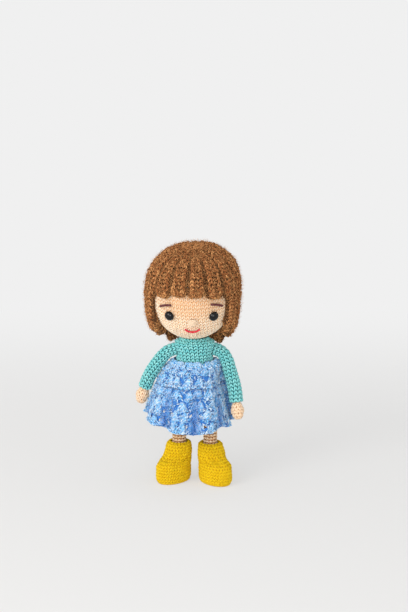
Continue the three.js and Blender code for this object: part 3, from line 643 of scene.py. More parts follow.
def smooth_path(points, count):
    # A natural cubic spline through the points, evenly spaced by chord
    points = np.asarray(points, float)
    chord = np.concatenate([[0], np.cumsum(np.linalg.norm(np.diff(points, axis=0), axis=1))])
    size = len(points)
    gaps = np.diff(chord)
    system = np.eye(size)
    right = np.zeros_like(points)
    for i in range(1, size - 1):
        system[i, i - 1 : i + 2] = [gaps[i - 1], 2 * (gaps[i - 1] + gaps[i]), gaps[i]]
        ahead = (points[i + 1] - points[i]) / gaps[i]
        behind = (points[i] - points[i - 1]) / gaps[i - 1]
        right[i] = 6 * (ahead - behind)
    bend = np.linalg.solve(system, right)
    at = np.linspace(0, chord[-1], count)
    i = np.clip(np.searchsorted(chord, at, side="right") - 1, 0, size - 2)
    gap = gaps[i][:, None]
    run = (at - chord[i])[:, None]
    slope = (points[i + 1] - points[i]) / gap - gap * (2 * bend[i] + bend[i + 1]) / 6
    return points[i] + slope * run + bend[i] * run**2 / 2 + (bend[i + 1] - bend[i]) * run**3 / (6 * gap)


# Faces of a closed tube: its rings of points, then a point at each end
@functools.lru_cache(maxsize=None)
def tube_faces(rings, sides):
    faces = []
    places = []
    for i in range(rings - 1):
        for j in range(sides):
            k = (j + 1) % sides
            faces.append((i * sides + j, (i + 1) * sides + j, (i + 1) * sides + k, i * sides + k))
            t0, t1 = i / (rings - 1), (i + 1) / (rings - 1)
            s0, s1 = j / sides, (j + 1) / sides
            places.append(((t0, s0), (t1, s0), (t1, s1), (t0, s1)))
    last = (rings - 1) * sides
    for j in range(sides):
        k = (j + 1) % sides
        s0, s1 = j / sides, (j + 1) / sides
        faces.append((rings * sides, j, k))
        places.append(((0, s0), (0, s0), (0, s1)))
        faces.append((rings * sides + 1, last + k, last + j))
        places.append(((1, s0), (1, s1), (1, s0)))
    return faces, places


def tubes(centres, radii, sides, up, flatness=1.0):
    # Points of closed tubes of yarn, one along each row of centres
    centres = np.asarray(centres, float)
    count, rings, _ = centres.shape
    along = unit(np.gradient(centres, axis=1))
    side = unit(np.cross(along, np.broadcast_to(up, centres.shape)))
    lift = np.cross(side, along)
    angle = np.arange(sides) / sides * TURN
    ring = np.cos(angle)[:, None] * side[:, :, None] + flatness * np.sin(angle)[:, None] * lift[:, :, None]
    reach = np.broadcast_to(radii, (count, rings))[..., None, None]
    skin = (centres[:, :, None] + ring * reach).reshape(count, rings * sides, 3)
    return np.concatenate([skin, centres[:, :1], centres[:, -1:]], axis=1)


class Surface:
    # Rows of points down a piece of fabric. Each row runs across it, or right round it.
    def __init__(self, rows, wraps=True, middle=None):
        self.rows = np.asarray(rows, float)
        self.wraps = wraps
        self.hollows = None
        steps = np.linalg.norm(np.diff(self.rows, axis=0), axis=2).mean(axis=1)
        self.marks = np.concatenate([[0], np.cumsum(steps)])
        self.length = self.marks[-1]
        if wraps:
            ahead = np.roll(self.rows, -1, axis=1)
            behind = np.roll(self.rows, 1, axis=1)
            self.girths = np.linalg.norm(ahead - self.rows, axis=2).sum(axis=1)
        else:
            ahead = np.concatenate([self.rows[:, 1:], self.rows[:, -1:]], axis=1)
            behind = np.concatenate([self.rows[:, :1], self.rows[:, :-1]], axis=1)
            self.girths = np.linalg.norm(np.diff(self.rows, axis=1), axis=2).sum(axis=1)
        normals = unit(np.cross(ahead - behind, np.gradient(self.rows, axis=0)))
        centre = self.rows.mean(axis=1, keepdims=True) if middle is None else middle
        self.mirrored = ((self.rows - centre) * normals).sum() < 0
        self.normals = -normals if self.mirrored else normals

    def girth_at(self, down):
        return np.interp(down, self.marks, self.girths)

    def at(self, across, down):
        columns = self.rows.shape[1]
        row = np.interp(down, self.marks, np.arange(len(self.marks)))
        top = np.minimum(row.astype(int), len(self.marks) - 2)
        v = (row - top)[..., None]
        if self.wraps:
            column = (across % 1) * columns
            left = column.astype(int) % columns
            right = (left + 1) % columns
            u = (column - np.floor(column))[..., None]
        else:
            column = np.clip(across, 0, 1) * (columns - 1)
            left = np.minimum(column.astype(int), columns - 2)
            right = left + 1
            u = (column - left)[..., None]

        def mixed(grid):
            upper = grid[top, left] * (1 - u) + grid[top, right] * u
            lower = grid[top + 1, left] * (1 - u) + grid[top + 1, right] * u
            return upper * (1 - v) + lower * v

        return mixed(self.rows), unit(mixed(self.normals))


class Pattern:
    # One stitch on flat fabric: X across, Y down and Z out of it
    def __init__(self, width):
        self.width = width
        self.points = np.zeros((0, 3))
        self.faces = []
        self.places = []
        self.tone = np.zeros(0)
        self.cells = 0

    def add(self, centres, radii, sides, tone=0.0, flatness=1.0):
        points = tubes(np.asarray(centres)[None], radii, sides, (0, 0, 1), flatness)[0]
        faces, places = tube_faces(len(centres), sides)
        start = len(self.points)
        self.points = np.concatenate([self.points, points])
        self.faces += [tuple(start + i for i in face) for face in faces]
        self.places += [(self.cells, place) for place in places]
        self.tone = np.concatenate([self.tone, np.full(len(points), tone)])
        self.cells += 1
        return self

    def depth(self):
        # How high each point stands in the stitch, from 0 to 1: the low points get painted shade
        z = self.points[:, 2]
        return (z - z.min()) / max(z.max() - z.min(), TINY)


def taper(t, start, span, power):
    # How thick a strand is along its length, next to its middle
    return np.sin(math.pi * (start + span * t)) ** power


def v_stitch(stitch, lean=0.78, overlap=0.62, rise=0.3, flatness=1.0, reach=0.52):
    # Two leaves of yarn that meet at the foot of the stitch
    width, height, yarn = stitch
    pattern = Pattern(width)
    t = np.linspace(0, 1, LEAF_RINGS)
    for side in (-1, 1):
        across = side * (LEAF_FOOT_SHARE + (lean - 0.5) * t**LEAF_BEND) * width
        down = (overlap - (overlap + reach) * t) * height
        out = yarn * (rise * np.sin(math.pi * t) - LEAF_SINK_SHARE)
        radii = yarn * taper(t, *LEAF_TAPER)
        pattern.add(np.stack([across, down, out], axis=1), radii, LEAF_SIDES, flatness=flatness)
    return pattern


def hair_stitch(seed):
    # A loose V of fluffy yarn, with plies of their own shades in each leg
    chance = np.random.default_rng(seed)
    width, height, yarn = HAIR_STITCH
    pattern = Pattern(width)
    t = np.linspace(0, 1, HAIR_RINGS)
    for side in (-1, 1):
        for ply in (-1, 1):
            leg_x = side * (HAIR_FOOT_SHARE + HAIR_SPREAD_SHARE * t**LEAF_BEND) * width
            across = leg_x + ply * HAIR_PLY_GAP + chance.normal(0, HAIR_SHIFTS[0])
            down = (HAIR_TOP_SHARE - HAIR_REACH_SHARE * t) * height + chance.normal(0, HAIR_SHIFTS[1])
            out = yarn * (HAIR_RISE_SHARE * np.sin(math.pi * t) + chance.normal(*HAIR_LIFT_SHARES))
            radii = HAIR_PLY_SHARE * yarn * taper(t, *HAIR_TAPER)
            tone = chance.uniform(-HAIR_TONE, HAIR_TONE)
            pattern.add(np.stack([across, down, out], axis=1), radii, HAIR_SIDES, tone)
    return pattern


def fleck(seed, yarn, tones):
    # A short stray curl of fluffy yarn
    chance = np.random.default_rng(seed)
    pattern = Pattern(FLECK_WIDTH)
    t = np.linspace(0, 1, FLECK_RINGS)
    x = (t * 2 - 1) * chance.uniform(*FLECK_REACHES)
    y = chance.uniform(-FLECK_BOW, FLECK_BOW) * (1 - (t * 2 - 1) ** 2)
    z = yarn * (FLECK_LIFT_SHARE + chance.uniform(*FLECK_RISE_SHARES) * np.sin(math.pi * t))
    radii = yarn * chance.uniform(*FLECK_YARN_SHARES) * taper(t, *FLECK_TAPER)
    return pattern.add(np.stack([x, y, z], axis=1), radii, FLECK_SIDES, chance.choice(tones))


def twisted_pair(pattern, path, turns, chance):
    # Two plies round a path, a pale one and a blue one
    x, y, z = path
    t = np.linspace(0, 1, len(x))
    start = chance.uniform()
    for ply, tone in PAIR_PLIES:
        angle = (start + ply + t * turns) * TURN
        across = x + np.cos(angle) * POST_YARN
        out = z + np.sin(angle) * POST_YARN
        uneven = 1 + PAIR_UNEVEN_SHARE * chance.standard_normal(len(t))
        radii = POST_YARN * taper(t, *PAIR_TAPER) * uneven
        shade = tone + chance.normal(0, PAIR_TONE_SPREAD)
        pattern.add(np.stack([across, y, out], axis=1), radii, PAIR_SIDES, shade)


def shell_stitch(seed):
    # A fan of posts worked into one stitch, with a chain along its edge
    chance = np.random.default_rng(seed)
    pattern = Pattern(SHELL_WIDTH)
    t = np.linspace(0, 1, POST_RINGS)
    for k in range(POST_COUNT):
        spread = k / (POST_COUNT - 1) * 2 - 1
        foot_x = spread * POST_FOOT_SHARE * SHELL_WIDTH + chance.normal(0, POST_FOOT_SPREAD)
        head_x = spread * POST_HEAD_SHARE * SHELL_WIDTH + chance.normal(0, POST_HEAD_SPREADS[0])
        head_y = SHELL_HEIGHT * (POST_HEIGHT_SHARE - SHELL_ROUND_SHARE * spread**2)
        head_y = head_y + chance.normal(0, POST_HEAD_SPREADS[1])
        wave = POST_WAVE * np.sin(t * TURN * chance.uniform(*POST_WAVES))
        x = foot_x + (head_x - foot_x) * t**POST_BEND + wave
        z = POST_LIFT + POST_RISE * np.sin(math.pi * t) + chance.normal(0, POST_LIFT_SPREAD)
        twisted_pair(pattern, (x, head_y * t, z), POST_TWISTS, chance)
    t = np.linspace(0, 1, CHAIN_RINGS)
    x = (t * 2 - 1) * CHAIN_HALF_SHARE * SHELL_WIDTH
    y = SHELL_HEIGHT * (1.0 - SHELL_ROUND_SHARE * (t * 2 - 1) ** 2)
    z = CHAIN_LIFT + CHAIN_WAVE * np.sin(t * TURN * CHAIN_WAVES)
    twisted_pair(pattern, (x, y, z), CHAIN_TWISTS, chance)
    return pattern


# The stitches that each fabric is worked in
FACE_PATTERN = v_stitch(FACE_STITCH, lean=0.82, overlap=0.52, rise=0.1, flatness=0.7)
JUMPER_PATTERN = v_stitch(JUMPER_STITCH, lean=0.86, overlap=0.5, rise=0.35)
HAND_PATTERN = v_stitch(HAND_STITCH, rise=0.1, flatness=0.7)
LEG_PATTERN = v_stitch(LEG_STITCH, lean=0.98, overlap=0.3, reach=0.3)
BOOT_PATTERN = v_stitch(BOOT_STITCH)
CROWN_PATTERN = v_stitch(CROWN_STITCH, lean=0.72, overlap=0.8, rise=0.3)
HAIR_PATTERNS = [hair_stitch(seed) for seed in range(HAIR_KINDS)]
HAIR_FLECKS = [fleck(seed, *HAIR_FLECK) for seed in range(HAIR_KINDS)]
UNDER_FLECKS = [fleck(seed, *UNDER_FLECK) for seed in range(HAIR_KINDS)]
SKIRT_FLECKS = [fleck(seed, *SKIRT_FLECK) for seed in range(SKIRT_FLECK_KINDS)]
SHELLS = [shell_stitch(seed) for seed in range(SHELL_KINDS)]


class Fabric:
    # Gathers the points and faces of one piece, with what its material reads from them
    def __init__(self):
        self.points, self.depth, self.tone = [], [], []
        self.loops, self.sizes, self.yarn, self.cells = [], [], [], []
        self.used = 0
        self.cell_count = 0
        self.linings = []

    def add(self, points, faces, places, cell_of_face, depth, tone, mirrored, yarn_length):
        # The same faces for each of many copies of a shape
        count, size, _ = points.shape
        sizes = np.array([len(face) for face in faces])
        order = [list(range(len(face))) for face in faces]
        if mirrored:
            order = [list(reversed(o)) for o in order]
        loops = np.array([face[i] for face, o in zip(faces, order) for i in o])
        places = np.array([place[i] for place, o in zip(places, order) for i in o], float)
        cell = np.array([c for c, o in zip(cell_of_face, order) for _ in o])
        cells = int(cell.max()) + 1
        offset = self.used + np.arange(count)[:, None] * size
        self.points.append(points.reshape(-1, 3))
        self.depth.append(np.broadcast_to(depth, (count, size)).ravel())
        self.tone.append(np.broadcast_to(tone, (count, size)).ravel())
        self.loops.append((offset + loops[None]).ravel())
        self.sizes.append(np.tile(sizes, count))
        self.yarn.append(np.tile(places * np.array([yarn_length, 1]), (count, 1)))
        numbers = self.cell_count + np.arange(count)[:, None] * cells + cell[None]
        self.cells.append((numbers.ravel(), np.tile(places, (count, 1))))
        self.used += count * size
        self.cell_count += count * cells

    def lay(self, surface, across, down, width, pattern, twist=0.05, jitter=0.08, turn=None):
        # Copies of a stitch laid on a surface, each at its own place and width
        count = len(across)
        stretch = width / pattern.width
        angle = rng.normal(0, twist, count) if turn is None else turn
        c, s = np.cos(angle)[:, None], np.sin(angle)[:, None]
        x = pattern.points[None, :, 0] * stretch[:, None]
        y = pattern.points[None, :, 1]
        girth = surface.girth_at(down)[:, None]
        u = across[:, None] + (x * c - y * s) / girth
        v = down[:, None] + x * s + y * c
        place, normal = surface.at(u, v)
        thick = np.minimum(1, stretch) * (1 + jitter * rng.standard_normal(count))
        lift = pattern.points[None, :, 2] * thick[:, None]
        # The low points of a stitch are painted in the yarn's shade colour
        depth = pattern.depth()[None]
        if surface.hollows is not None:
            sunk, shaded = surface.hollows(u, v)
            lift = lift - sunk
            depth = depth * (1 - shaded)
        points = place + normal * lift[..., None]
        tone = rng.uniform(-1, 1, count)[:, None] * TONE_SPREAD + pattern.tone[None]
        cell_of_face = [cell for cell, _ in pattern.places]
        places = [place for _, place in pattern.places]
        self.add(points, pattern.faces, places, cell_of_face, depth, tone, surface.mirrored, pattern.width)

    def lay_mixed(self, surface, across, down, width, patterns, **manner):
        # Stitches laid in shapes that take turns at random
        kinds = rng.integers(0, len(patterns), len(across))
        for kind, pattern in enumerate(patterns):
            chosen = kinds == kind
            self.lay(surface, across[chosen], down[chosen], width[chosen], pattern, **manner)

    def rounds(self, surface, start, end, stitch, pattern, count=None, lean=0.1, keep=None):
        # Rounds of stitches from one distance down a surface to another
        rows = max(1, round((end - start) / stitch[1]))
        step = (end - start) / rows
        across, down, width = [], [], []
        for i in range(rows):
            here = start + (i + 0.5) * step
            girth = surface.girth_at(here)
            number = count or max(LEAST_STITCHES, round(girth / stitch[0]))
            shares = (np.arange(number) + 0.5 + lean * i) / number
            across.append(shares)
            down.append(np.full(number, here))
            width.append(np.full(number, girth / number))
        across, down, width = (np.concatenate(values) for values in (across, down, width))
        if keep is not None:
            kept = keep(*surface.at(across, down))
            across, down, width = across[kept], down[kept], width[kept]
        self.lay(surface, across, down, width, pattern)

    def strand(self, path, radius, sides, tone=0.0, up=(0, 0, 1)):
        # One closed length of yarn along a path
        points = tubes(np.asarray(path)[None], radius, sides, up)
        faces, places = tube_faces(len(path), sides)
        length = np.linalg.norm(np.diff(path, axis=0), axis=1).sum()
        self.add(points, faces, places, [0] * len(faces), 1.0, tone, False, length)

    def cord(self, path, radius, plies, pitch, up, tones):
        # A twisted thread: plies that wind round a path
        path = np.asarray(path, float)
        along = unit(np.gradient(path, axis=0))
        side = unit(np.cross(along, np.broadcast_to(up, path.shape)))
        lift = np.cross(side, along)
        run = np.concatenate([[0], np.cumsum(np.linalg.norm(np.diff(path, axis=0), axis=1))])
        for k in range(plies):
            angle = run / pitch * TURN + k / plies * TURN
            off = np.cos(angle)[:, None] * side + np.sin(angle)[:, None] * lift
            centre = path + off * radius * PLY_OFFSET_SHARE
            self.strand(centre, radius * PLY_RADIUS_SHARE, PLY_SIDES, tones[k % len(tones)], up)

    def line(self, surface, sink=LINING_SINK, depth=0.0, tone=0.0, keep=None, closed=True):
        # The fabric under the stitches: the surface itself, closed at both ends. Its depth sets how far it
        # is painted in the yarn's shade colour, a painted shade in the gaps between stitches
        grid = surface.rows - surface.normals * sink
        rows, columns = grid.shape[:2]
        index = np.arange(rows * columns).reshape(rows, columns)
        following = np.roll(index, -1, axis=1)
        quads = np.stack([index[:-1], index[1:], following[1:], following[:-1]], axis=-1)
        u = np.arange(columns + 1) / columns
        v = np.linspace(0, 1, rows)
        corners = np.stack([
            np.stack(np.broadcast_arrays(u[None, :-1], v[:-1, None]), -1),
            np.stack(np.broadcast_arrays(u[None, :-1], v[1:, None]), -1),
            np.stack(np.broadcast_arrays(u[None, 1:], v[1:, None]), -1),
            np.stack(np.broadcast_arrays(u[None, 1:], v[:-1, None]), -1),
        ], axis=2)
        if keep is not None:
            quads, corners = quads[keep], corners[keep]
        quads, corners = quads.reshape(-1, 4), corners.reshape(-1, 4, 2)
        if not surface.mirrored:
            quads, corners = quads[:, ::-1], corners[:, ::-1]
        points = grid.reshape(-1, 3)
        sizes = np.full(len(quads), 4)
        loops = quads.ravel()
        places = corners.reshape(-1, 2)
        if closed:
            hubs = np.stack([grid[0].mean(axis=0), grid[-1].mean(axis=0)])
            ends = []
            for back, ring in enumerate((index[0], index[-1])):
                hub = np.full(columns, rows * columns + back)
                nexts = np.roll(ring, -1)
                first, second = (nexts, ring) if back == surface.mirrored else (ring, nexts)
                ends.append(np.stack([hub, second, first], axis=1))
            fans = np.concatenate(ends)
            points = np.concatenate([points, hubs])
            loops = np.concatenate([loops, fans.ravel()])
            sizes = np.concatenate([sizes, np.full(len(fans), 3)])
            places = np.concatenate([places, np.zeros((fans.size, 2))])
        self.points.append(points)
        self.depth.append(np.full(len(points), depth))
        self.tone.append(np.full(len(points), tone))
        self.loops.append(self.used + loops)
        self.sizes.append(sizes)
        scale = np.array([surface.girths.max(), surface.length])
        self.yarn.append(places * scale)
        self.cells.append((np.full(len(loops), -1 - len(self.linings)), places))
        self.linings.append(surface)
        self.used += len(points)

    def flecks(self, patterns, surface, start, end, share, spread=TURN):
        # Stray curls all over a length of the fabric
        area = surface.girth_at((start + end) / 2) * (end - start)
        number = round(area * share / len(patterns))
        for pattern in patterns:
            down = rng.uniform(start, end, number)
            self.lay(surface, rng.random(number), down, np.full(number, FLECK_WIDTH), pattern,
                     turn=rng.normal(TURN / 4, spread, number), jitter=FLECK_JITTER)

    def brush(self, surface, start=0, end=None, amount=1, count=1, length=1.0, thickness=0.05, lay=1.0,
              lift=0.2, flow=0.0, tone=0.6):
        # Loose fibres that stand out of the yarn, so many for each one of an amount
        count = round(amount * count)
        down = rng.uniform(start, surface.length if end is None else end, count * 2)
        wanted = rng.random(count * 2) < surface.girth_at(down) / surface.girths.max()
        down = down[wanted][:count]
        number = len(down)
        across = rng.random(number)
        root, normal = surface.at(across, down)
        ahead, _ = surface.at(across, np.minimum(down + 1, surface.length))
        run = unit(ahead - root)
        loose = unit(np.cross(normal, rng.standard_normal((number, 3))))
        heading = unit(loose + run * flow + normal * rng.uniform(FIBRE_LOWEST, lay, number)[:, None])
        curl = unit(np.cross(heading, rng.standard_normal((number, 3))))
        t = np.linspace(0, 1, FIBRE_POINTS)[None, :, None]
        reach = (length * rng.uniform(FIBRE_SHORTEST_SHARE, 1, number))[:, None, None]
        centres = (root + normal * lift)[:, None] + heading[:, None] * reach * t
        centres = centres + curl[:, None] * reach * t**2 * FIBRE_CURL_SHARE
        radii = thickness / 2 * (1 - FIBRE_TAPER_SHARE * t[0, :, 0])
        points = tubes(centres, radii, FIBRE_SIDES, normal[:, None])
        faces, places = tube_faces(FIBRE_POINTS, FIBRE_SIDES)
        tones = tone + rng.uniform(-FIBRE_TONE_SPREAD, FIBRE_TONE_SPREAD, number)[:, None]
        self.add(points, faces, places, [0] * len(faces), 1.0, tones, False, length)

    def make(self, name, material, body, stands_for=()):
        points = np.concatenate(self.points)
        loops = np.concatenate(self.loops)
        sizes = np.concatenate(self.sizes)
        mesh = bpy.data.meshes.new(name)
        mesh.vertices.add(len(points))
        mesh.vertices.foreach_set("co", to_frame(points).astype(np.float32).ravel())
        mesh.loops.add(len(loops))
        mesh.loops.foreach_set("vertex_index", loops.astype(np.int32))
        mesh.polygons.add(len(sizes))
        starts = np.concatenate([[0], np.cumsum(sizes)[:-1]])
        mesh.polygons.foreach_set("loop_start", starts.astype(np.int32))
        mesh.polygons.foreach_set("use_smooth", np.ones(len(sizes), bool))
        for key, values in (("depth", self.depth), ("tone", self.tone)):
            layer = mesh.attributes.new(key, "FLOAT", "POINT")
            layer.data.foreach_set("value", np.concatenate(values).astype(np.float32))
        yarn = mesh.uv_layers.new(name="Yarn")
        yarn.data.foreach_set("uv", np.concatenate(self.yarn).astype(np.float32).ravel())
        atlas = mesh.uv_layers.new(name="OFBake")
        atlas.data.foreach_set("uv", self.atlas().astype(np.float32).ravel())
        mesh.update(calc_edges=True)
        mesh.materials.append(material)
        piece = bpy.data.objects.new(name, mesh)
        bpy.context.scene.collection.objects.link(piece)
        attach(piece, body)
        if stands_for:
            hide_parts(*stands_for)
        return piece

    def make_stuffed(self, name, material, body, stands_for):
        self.make(name, material, body, stands_for)

    def atlas(self):
        # Each strand has its own cell of the picture, and the linings share a strip of it
        strip = LINING_STRIP_SHARE if self.linings else 0
        side = max(1, math.ceil(math.sqrt(self.cell_count)))
        made = []
        for numbers, places in self.cells:
            numbers = np.asarray(numbers)
            inside = CELL_MARGIN_SHARE + (1 - 2 * CELL_MARGIN_SHARE) * places
            if len(numbers) and numbers[0] < 0:
                share = 1 / len(self.linings)
                across = STRIP_MARGIN_SHARE + (1 - 2 * STRIP_MARGIN_SHARE) * places[:, 0]
                x = (-1 - numbers + across) * share
                y = strip * (STRIP_MARGIN_SHARE + (1 - 3 * STRIP_MARGIN_SHARE) * places[:, 1])
            else:
                x = (numbers % side + inside[:, 0]) / side
                y = strip + (1 - strip) * (numbers // side + inside[:, 1]) / side
            made.append(np.stack([x, y], axis=1))
        return np.concatenate(made)

# Materials
def paint(red, green, blue):
    # A colour as it looks, turned into the light that it gives back
    shares = [value / 255 for value in (red, green, blue)]
    light = [s / 12.92 if s <= 0.04045 else ((s + 0.055) / 1.055) ** 2.4 for s in shares]
    return (*light, 1)


def put(tree, kind, values=None, **settings):
    # A node with its settings made, and its sockets set or linked
    made = tree.nodes.new(kind)
    for key, value in settings.items():
        setattr(made, key, value)
    for key, value in (values or {}).items():
        if isinstance(value, bpy.types.NodeSocket):
            tree.links.new(value, made.inputs[key])
        else:
            made.inputs[key].default_value = value
    return made


def math_of(tree, operation, first, second=0.0, clamp=False):
    made = put(tree, "ShaderNodeMath", {0: first, 1: second}, operation=operation, use_clamp=clamp)
    return made.outputs[0]


def mixed_colours(tree, share, first, second):
    made = put(tree, "ShaderNodeMix", {0: share, 6: first, 7: second}, data_type="RGBA")
    return made.outputs[2]


def new_group(name, inputs, outputs):
    tree = bpy.data.node_groups.new(name, "ShaderNodeTree")
    for label, kind, value in inputs:
        socket = tree.interface.new_socket(name=label, in_out="INPUT", socket_type=kind)
        socket.default_value = value
    for label, kind in outputs:
        tree.interface.new_socket(name=label, in_out="OUTPUT", socket_type=kind)
    return tree, tree.nodes.new("NodeGroupInput"), tree.nodes.new("NodeGroupOutput")


FLOAT = "NodeSocketFloat"
COLOUR = "NodeSocketColor"


def ply_twist_group():
    # The plies that wind along a strand, from the strand's own map
    tree, given, result = new_group(
        "ply_twist", [("Plies", FLOAT, 2.0), ("Turns", FLOAT, 0.5)], [("Height", FLOAT)])
    place = put(tree, "ShaderNodeUVMap", uv_map="Yarn").outputs[0]
    split = put(tree, "ShaderNodeSeparateXYZ", {0: place})
    along = math_of(tree, "MULTIPLY", split.outputs[0], given.outputs["Turns"])
    around = math_of(tree, "MULTIPLY", split.outputs[1], given.outputs["Plies"])
    phase = math_of(tree, "MULTIPLY", math_of(tree, "ADD", along, around), math.pi)
    wave = math_of(tree, "ABSOLUTE", math_of(tree, "SINE", phase))
    tree.links.new(wave, result.inputs["Height"])
    return tree


def fibre_group():
    # Fine hairs and slow changes of shade through the yarn
    tree, given, result = new_group(
        "fibre", [("Scale", FLOAT, 700.0)], [("Mottle", FLOAT), ("Hairs", FLOAT)])
    place = put(tree, "ShaderNodeTexCoord").outputs["Object"]
    slow = put(tree, "ShaderNodeTexNoise", {
        "Vector": place, "Scale": given.outputs["Scale"], "Detail": 3.0, "Roughness": 0.6})
    fine = math_of(tree, "MULTIPLY", given.outputs["Scale"], FINE_HAIR_SCALE)
    hairs = put(tree, "ShaderNodeTexNoise", {
        "Vector": place, "Scale": fine, "Detail": 2.0, "Roughness": 0.7, "Distortion": 1.5})
    tree.links.new(slow.outputs[0], result.inputs["Mottle"])
    tree.links.new(hairs.outputs[0], result.inputs["Hairs"])
    return tree


def yarn_colour_group():
    # Painted shade between the strands and in the plies' grooves, and lighter and darker strands among the
    # rest
    tree, given, result = new_group("yarn_colour", [
        ("Shade", COLOUR, (0.1, 0.1, 0.1, 1)), ("Middle", COLOUR, (0.5, 0.5, 0.5, 1)),
        ("Light", COLOUR, (0.8, 0.8, 0.8, 1)), ("Depth", FLOAT, 1.0), ("Tone", FLOAT, 0.0),
        ("Mottle", FLOAT, 0.5), ("Twist", FLOAT, 1.0)], [("Color", COLOUR)])
    mottle = math_of(tree, "SUBTRACT", given.outputs["Mottle"], 0.5)
    swing = math_of(tree, "MULTIPLY", mottle, MOTTLE_SWING)
    lean = math_of(tree, "MULTIPLY", given.outputs["Tone"], TONE_SWING)
    mix = math_of(tree, "ADD", math_of(tree, "ADD", swing, lean), LIGHT_START, clamp=True)
    body = mixed_colours(tree, mix, given.outputs["Middle"], given.outputs["Light"])
    raised = math_of(tree, "MULTIPLY", given.outputs["Twist"], GROOVE_SHARE)
    groove = math_of(tree, "ADD", raised, 1 - GROOVE_SHARE)
    depth = math_of(tree, "POWER", given.outputs["Depth"], DEPTH_POWER)
    open_share = math_of(tree, "MULTIPLY", depth, groove, clamp=True)
    tree.links.new(mixed_colours(tree, open_share, given.outputs["Shade"], body), result.inputs["Color"])
    return tree


PLY_TWIST = ply_twist_group()
FIBRE = fibre_group()
YARN_COLOUR = yarn_colour_group()


def new_material(name):
    material = bpy.data.materials.new(name)
    material.use_nodes = True
    tree = material.node_tree
    shader = tree.nodes["Principled BSDF"]
    return material, tree, shader


def yarn_material(name, colours, turns=1.3, sheen=0.35, relief=0.12):
    # Twisted yarn with fine hairs, with painted shade between its strands
    material, tree, shader = new_material(name)
    shade, middle, light = (paint(*colour) for colour in colours)
    twist = put(tree, "ShaderNodeGroup", {"Plies": YARN_PLIES, "Turns": turns}, node_tree=PLY_TWIST)
    fibre = put(tree, "ShaderNodeGroup", {"Scale": YARN_SCALE}, node_tree=FIBRE)
    colour = put(tree, "ShaderNodeGroup", {
        "Shade": shade, "Middle": middle, "Light": light,
        "Depth": put(tree, "ShaderNodeAttribute", attribute_name="depth").outputs["Fac"],
        "Tone": put(tree, "ShaderNodeAttribute", attribute_name="tone").outputs["Fac"],
        "Mottle": fibre.outputs["Mottle"], "Twist": twist.outputs["Height"]}, node_tree=YARN_COLOUR)
    hairs = math_of(tree, "MULTIPLY", fibre.outputs["Hairs"], FINE_HAIR_SHARE)
    height = math_of(tree, "ADD", twist.outputs["Height"], hairs)
    bump = put(tree, "ShaderNodeBump", {
        "Height": height, "Strength": YARN_BUMP, "Distance": relief * MM})
    tree.links.new(colour.outputs["Color"], shader.inputs["Base Color"])
    tree.links.new(bump.outputs["Normal"], shader.inputs["Normal"])
    shader.inputs["Roughness"].default_value = YARN_ROUGHNESS
    shader.inputs["Sheen Weight"].default_value = sheen
    shader.inputs["Sheen Roughness"].default_value = YARN_SHEEN_ROUGHNESS
    shader.inputs["Sheen Tint"].default_value = light
    shader.inputs["Specular IOR Level"].default_value = YARN_SPECULAR
    return material


def plain_material(name, colour, roughness, metallic=0.0, grain=0.06, specular=0.5):
    # A smooth finish with a little wear in its gloss and colour
    material, tree, shader = new_material(name)
    fibre = put(tree, "ShaderNodeGroup", {"Scale": WEAR_SCALE}, node_tree=FIBRE)
    darker = tuple(value * (1 - grain * WEAR_SHARE) for value in colour)
    mixed = mixed_colours(tree, fibre.outputs["Mottle"], paint(*darker), paint(*colour))
    tree.links.new(mixed, shader.inputs["Base Color"])
    worn = math_of(tree, "MULTIPLY", fibre.outputs["Hairs"], grain)
    gloss = math_of(tree, "ADD", worn, roughness, clamp=True)
    tree.links.new(gloss, shader.inputs["Roughness"])
    shader.inputs["Metallic"].default_value = metallic
    shader.inputs["Specular IOR Level"].default_value = specular
    return material


SKIN = yarn_material("skin_yarn", SKIN_COLOURS, sheen=0.3)
HAIR = yarn_material("hair_yarn", HAIR_COLOURS, turns=0.9, sheen=0.8)
TEAL = yarn_material("jumper_yarn", JUMPER_COLOURS)
BLUE = yarn_material("skirt_yarn", SKIRT_COLOURS, sheen=0.3)
# The legs' darker copy of the skin yarn: a painted shade under the skirt
LEG = yarn_material("leg_yarn_in_shade", LEG_SHADED_COLOURS, sheen=0.3)
YELLOW = yarn_material("boot_yarn", BOOT_COLOURS, sheen=0.1)
PALE = yarn_material("nose_yarn", NOSE_COLOURS, sheen=0.4)
RED = yarn_material("mouth_thread", MOUTH_COLOURS, sheen=0.2)
PLUM = yarn_material("brow_thread", BROW_COLOURS, sheen=0.2)
FELT = yarn_material("insole_felt", FELT_COLOURS, relief=0.3)
EYE = plain_material("eye_plastic", EYE_COLOUR, 0.08, grain=0.02, specular=0.3)
WASHER = plain_material("washer_plastic", WASHER_COLOUR, 0.45)
STEEL = plain_material("steel_wire", STEEL_COLOUR, 0.3, metallic=1.0)


# Head
def ring_angles(count):
    # Angles of points evenly round a ring, in radians
    return np.arange(count) / count * TURN


def egg_surface(radius, half_height):
    # The head's egg, from its crown down
    polar = np.linspace(HEAD_POLE, math.pi - HEAD_POLE, HEAD_ROWS)[:, None]
    azimuth = ring_angles(HEAD_COLUMNS)[None]
    return head_to_doll(np.stack(np.broadcast_arrays(
        np.sin(azimuth) * np.sin(polar) * radius,
        -np.cos(azimuth) * np.sin(polar) * radius,
        np.cos(polar) * half_height,
    ), axis=-1))


def shown_face(points, _):
    # Stitches that the hair leaves in sight, in front and under the chin
    local = turned(points - np.array(HEAD_PLACE, float), -HEAD_LEAN, (1, 2))
    azimuth = np.degrees(np.arctan2(local[:, 0], -local[:, 1]))
    in_front = (np.abs(azimuth) < FACE_HALF_ANGLE) & (local[:, 2] < FACE_TOP_Z)
    return (local[:, 2] < CHIN_Z) | in_front


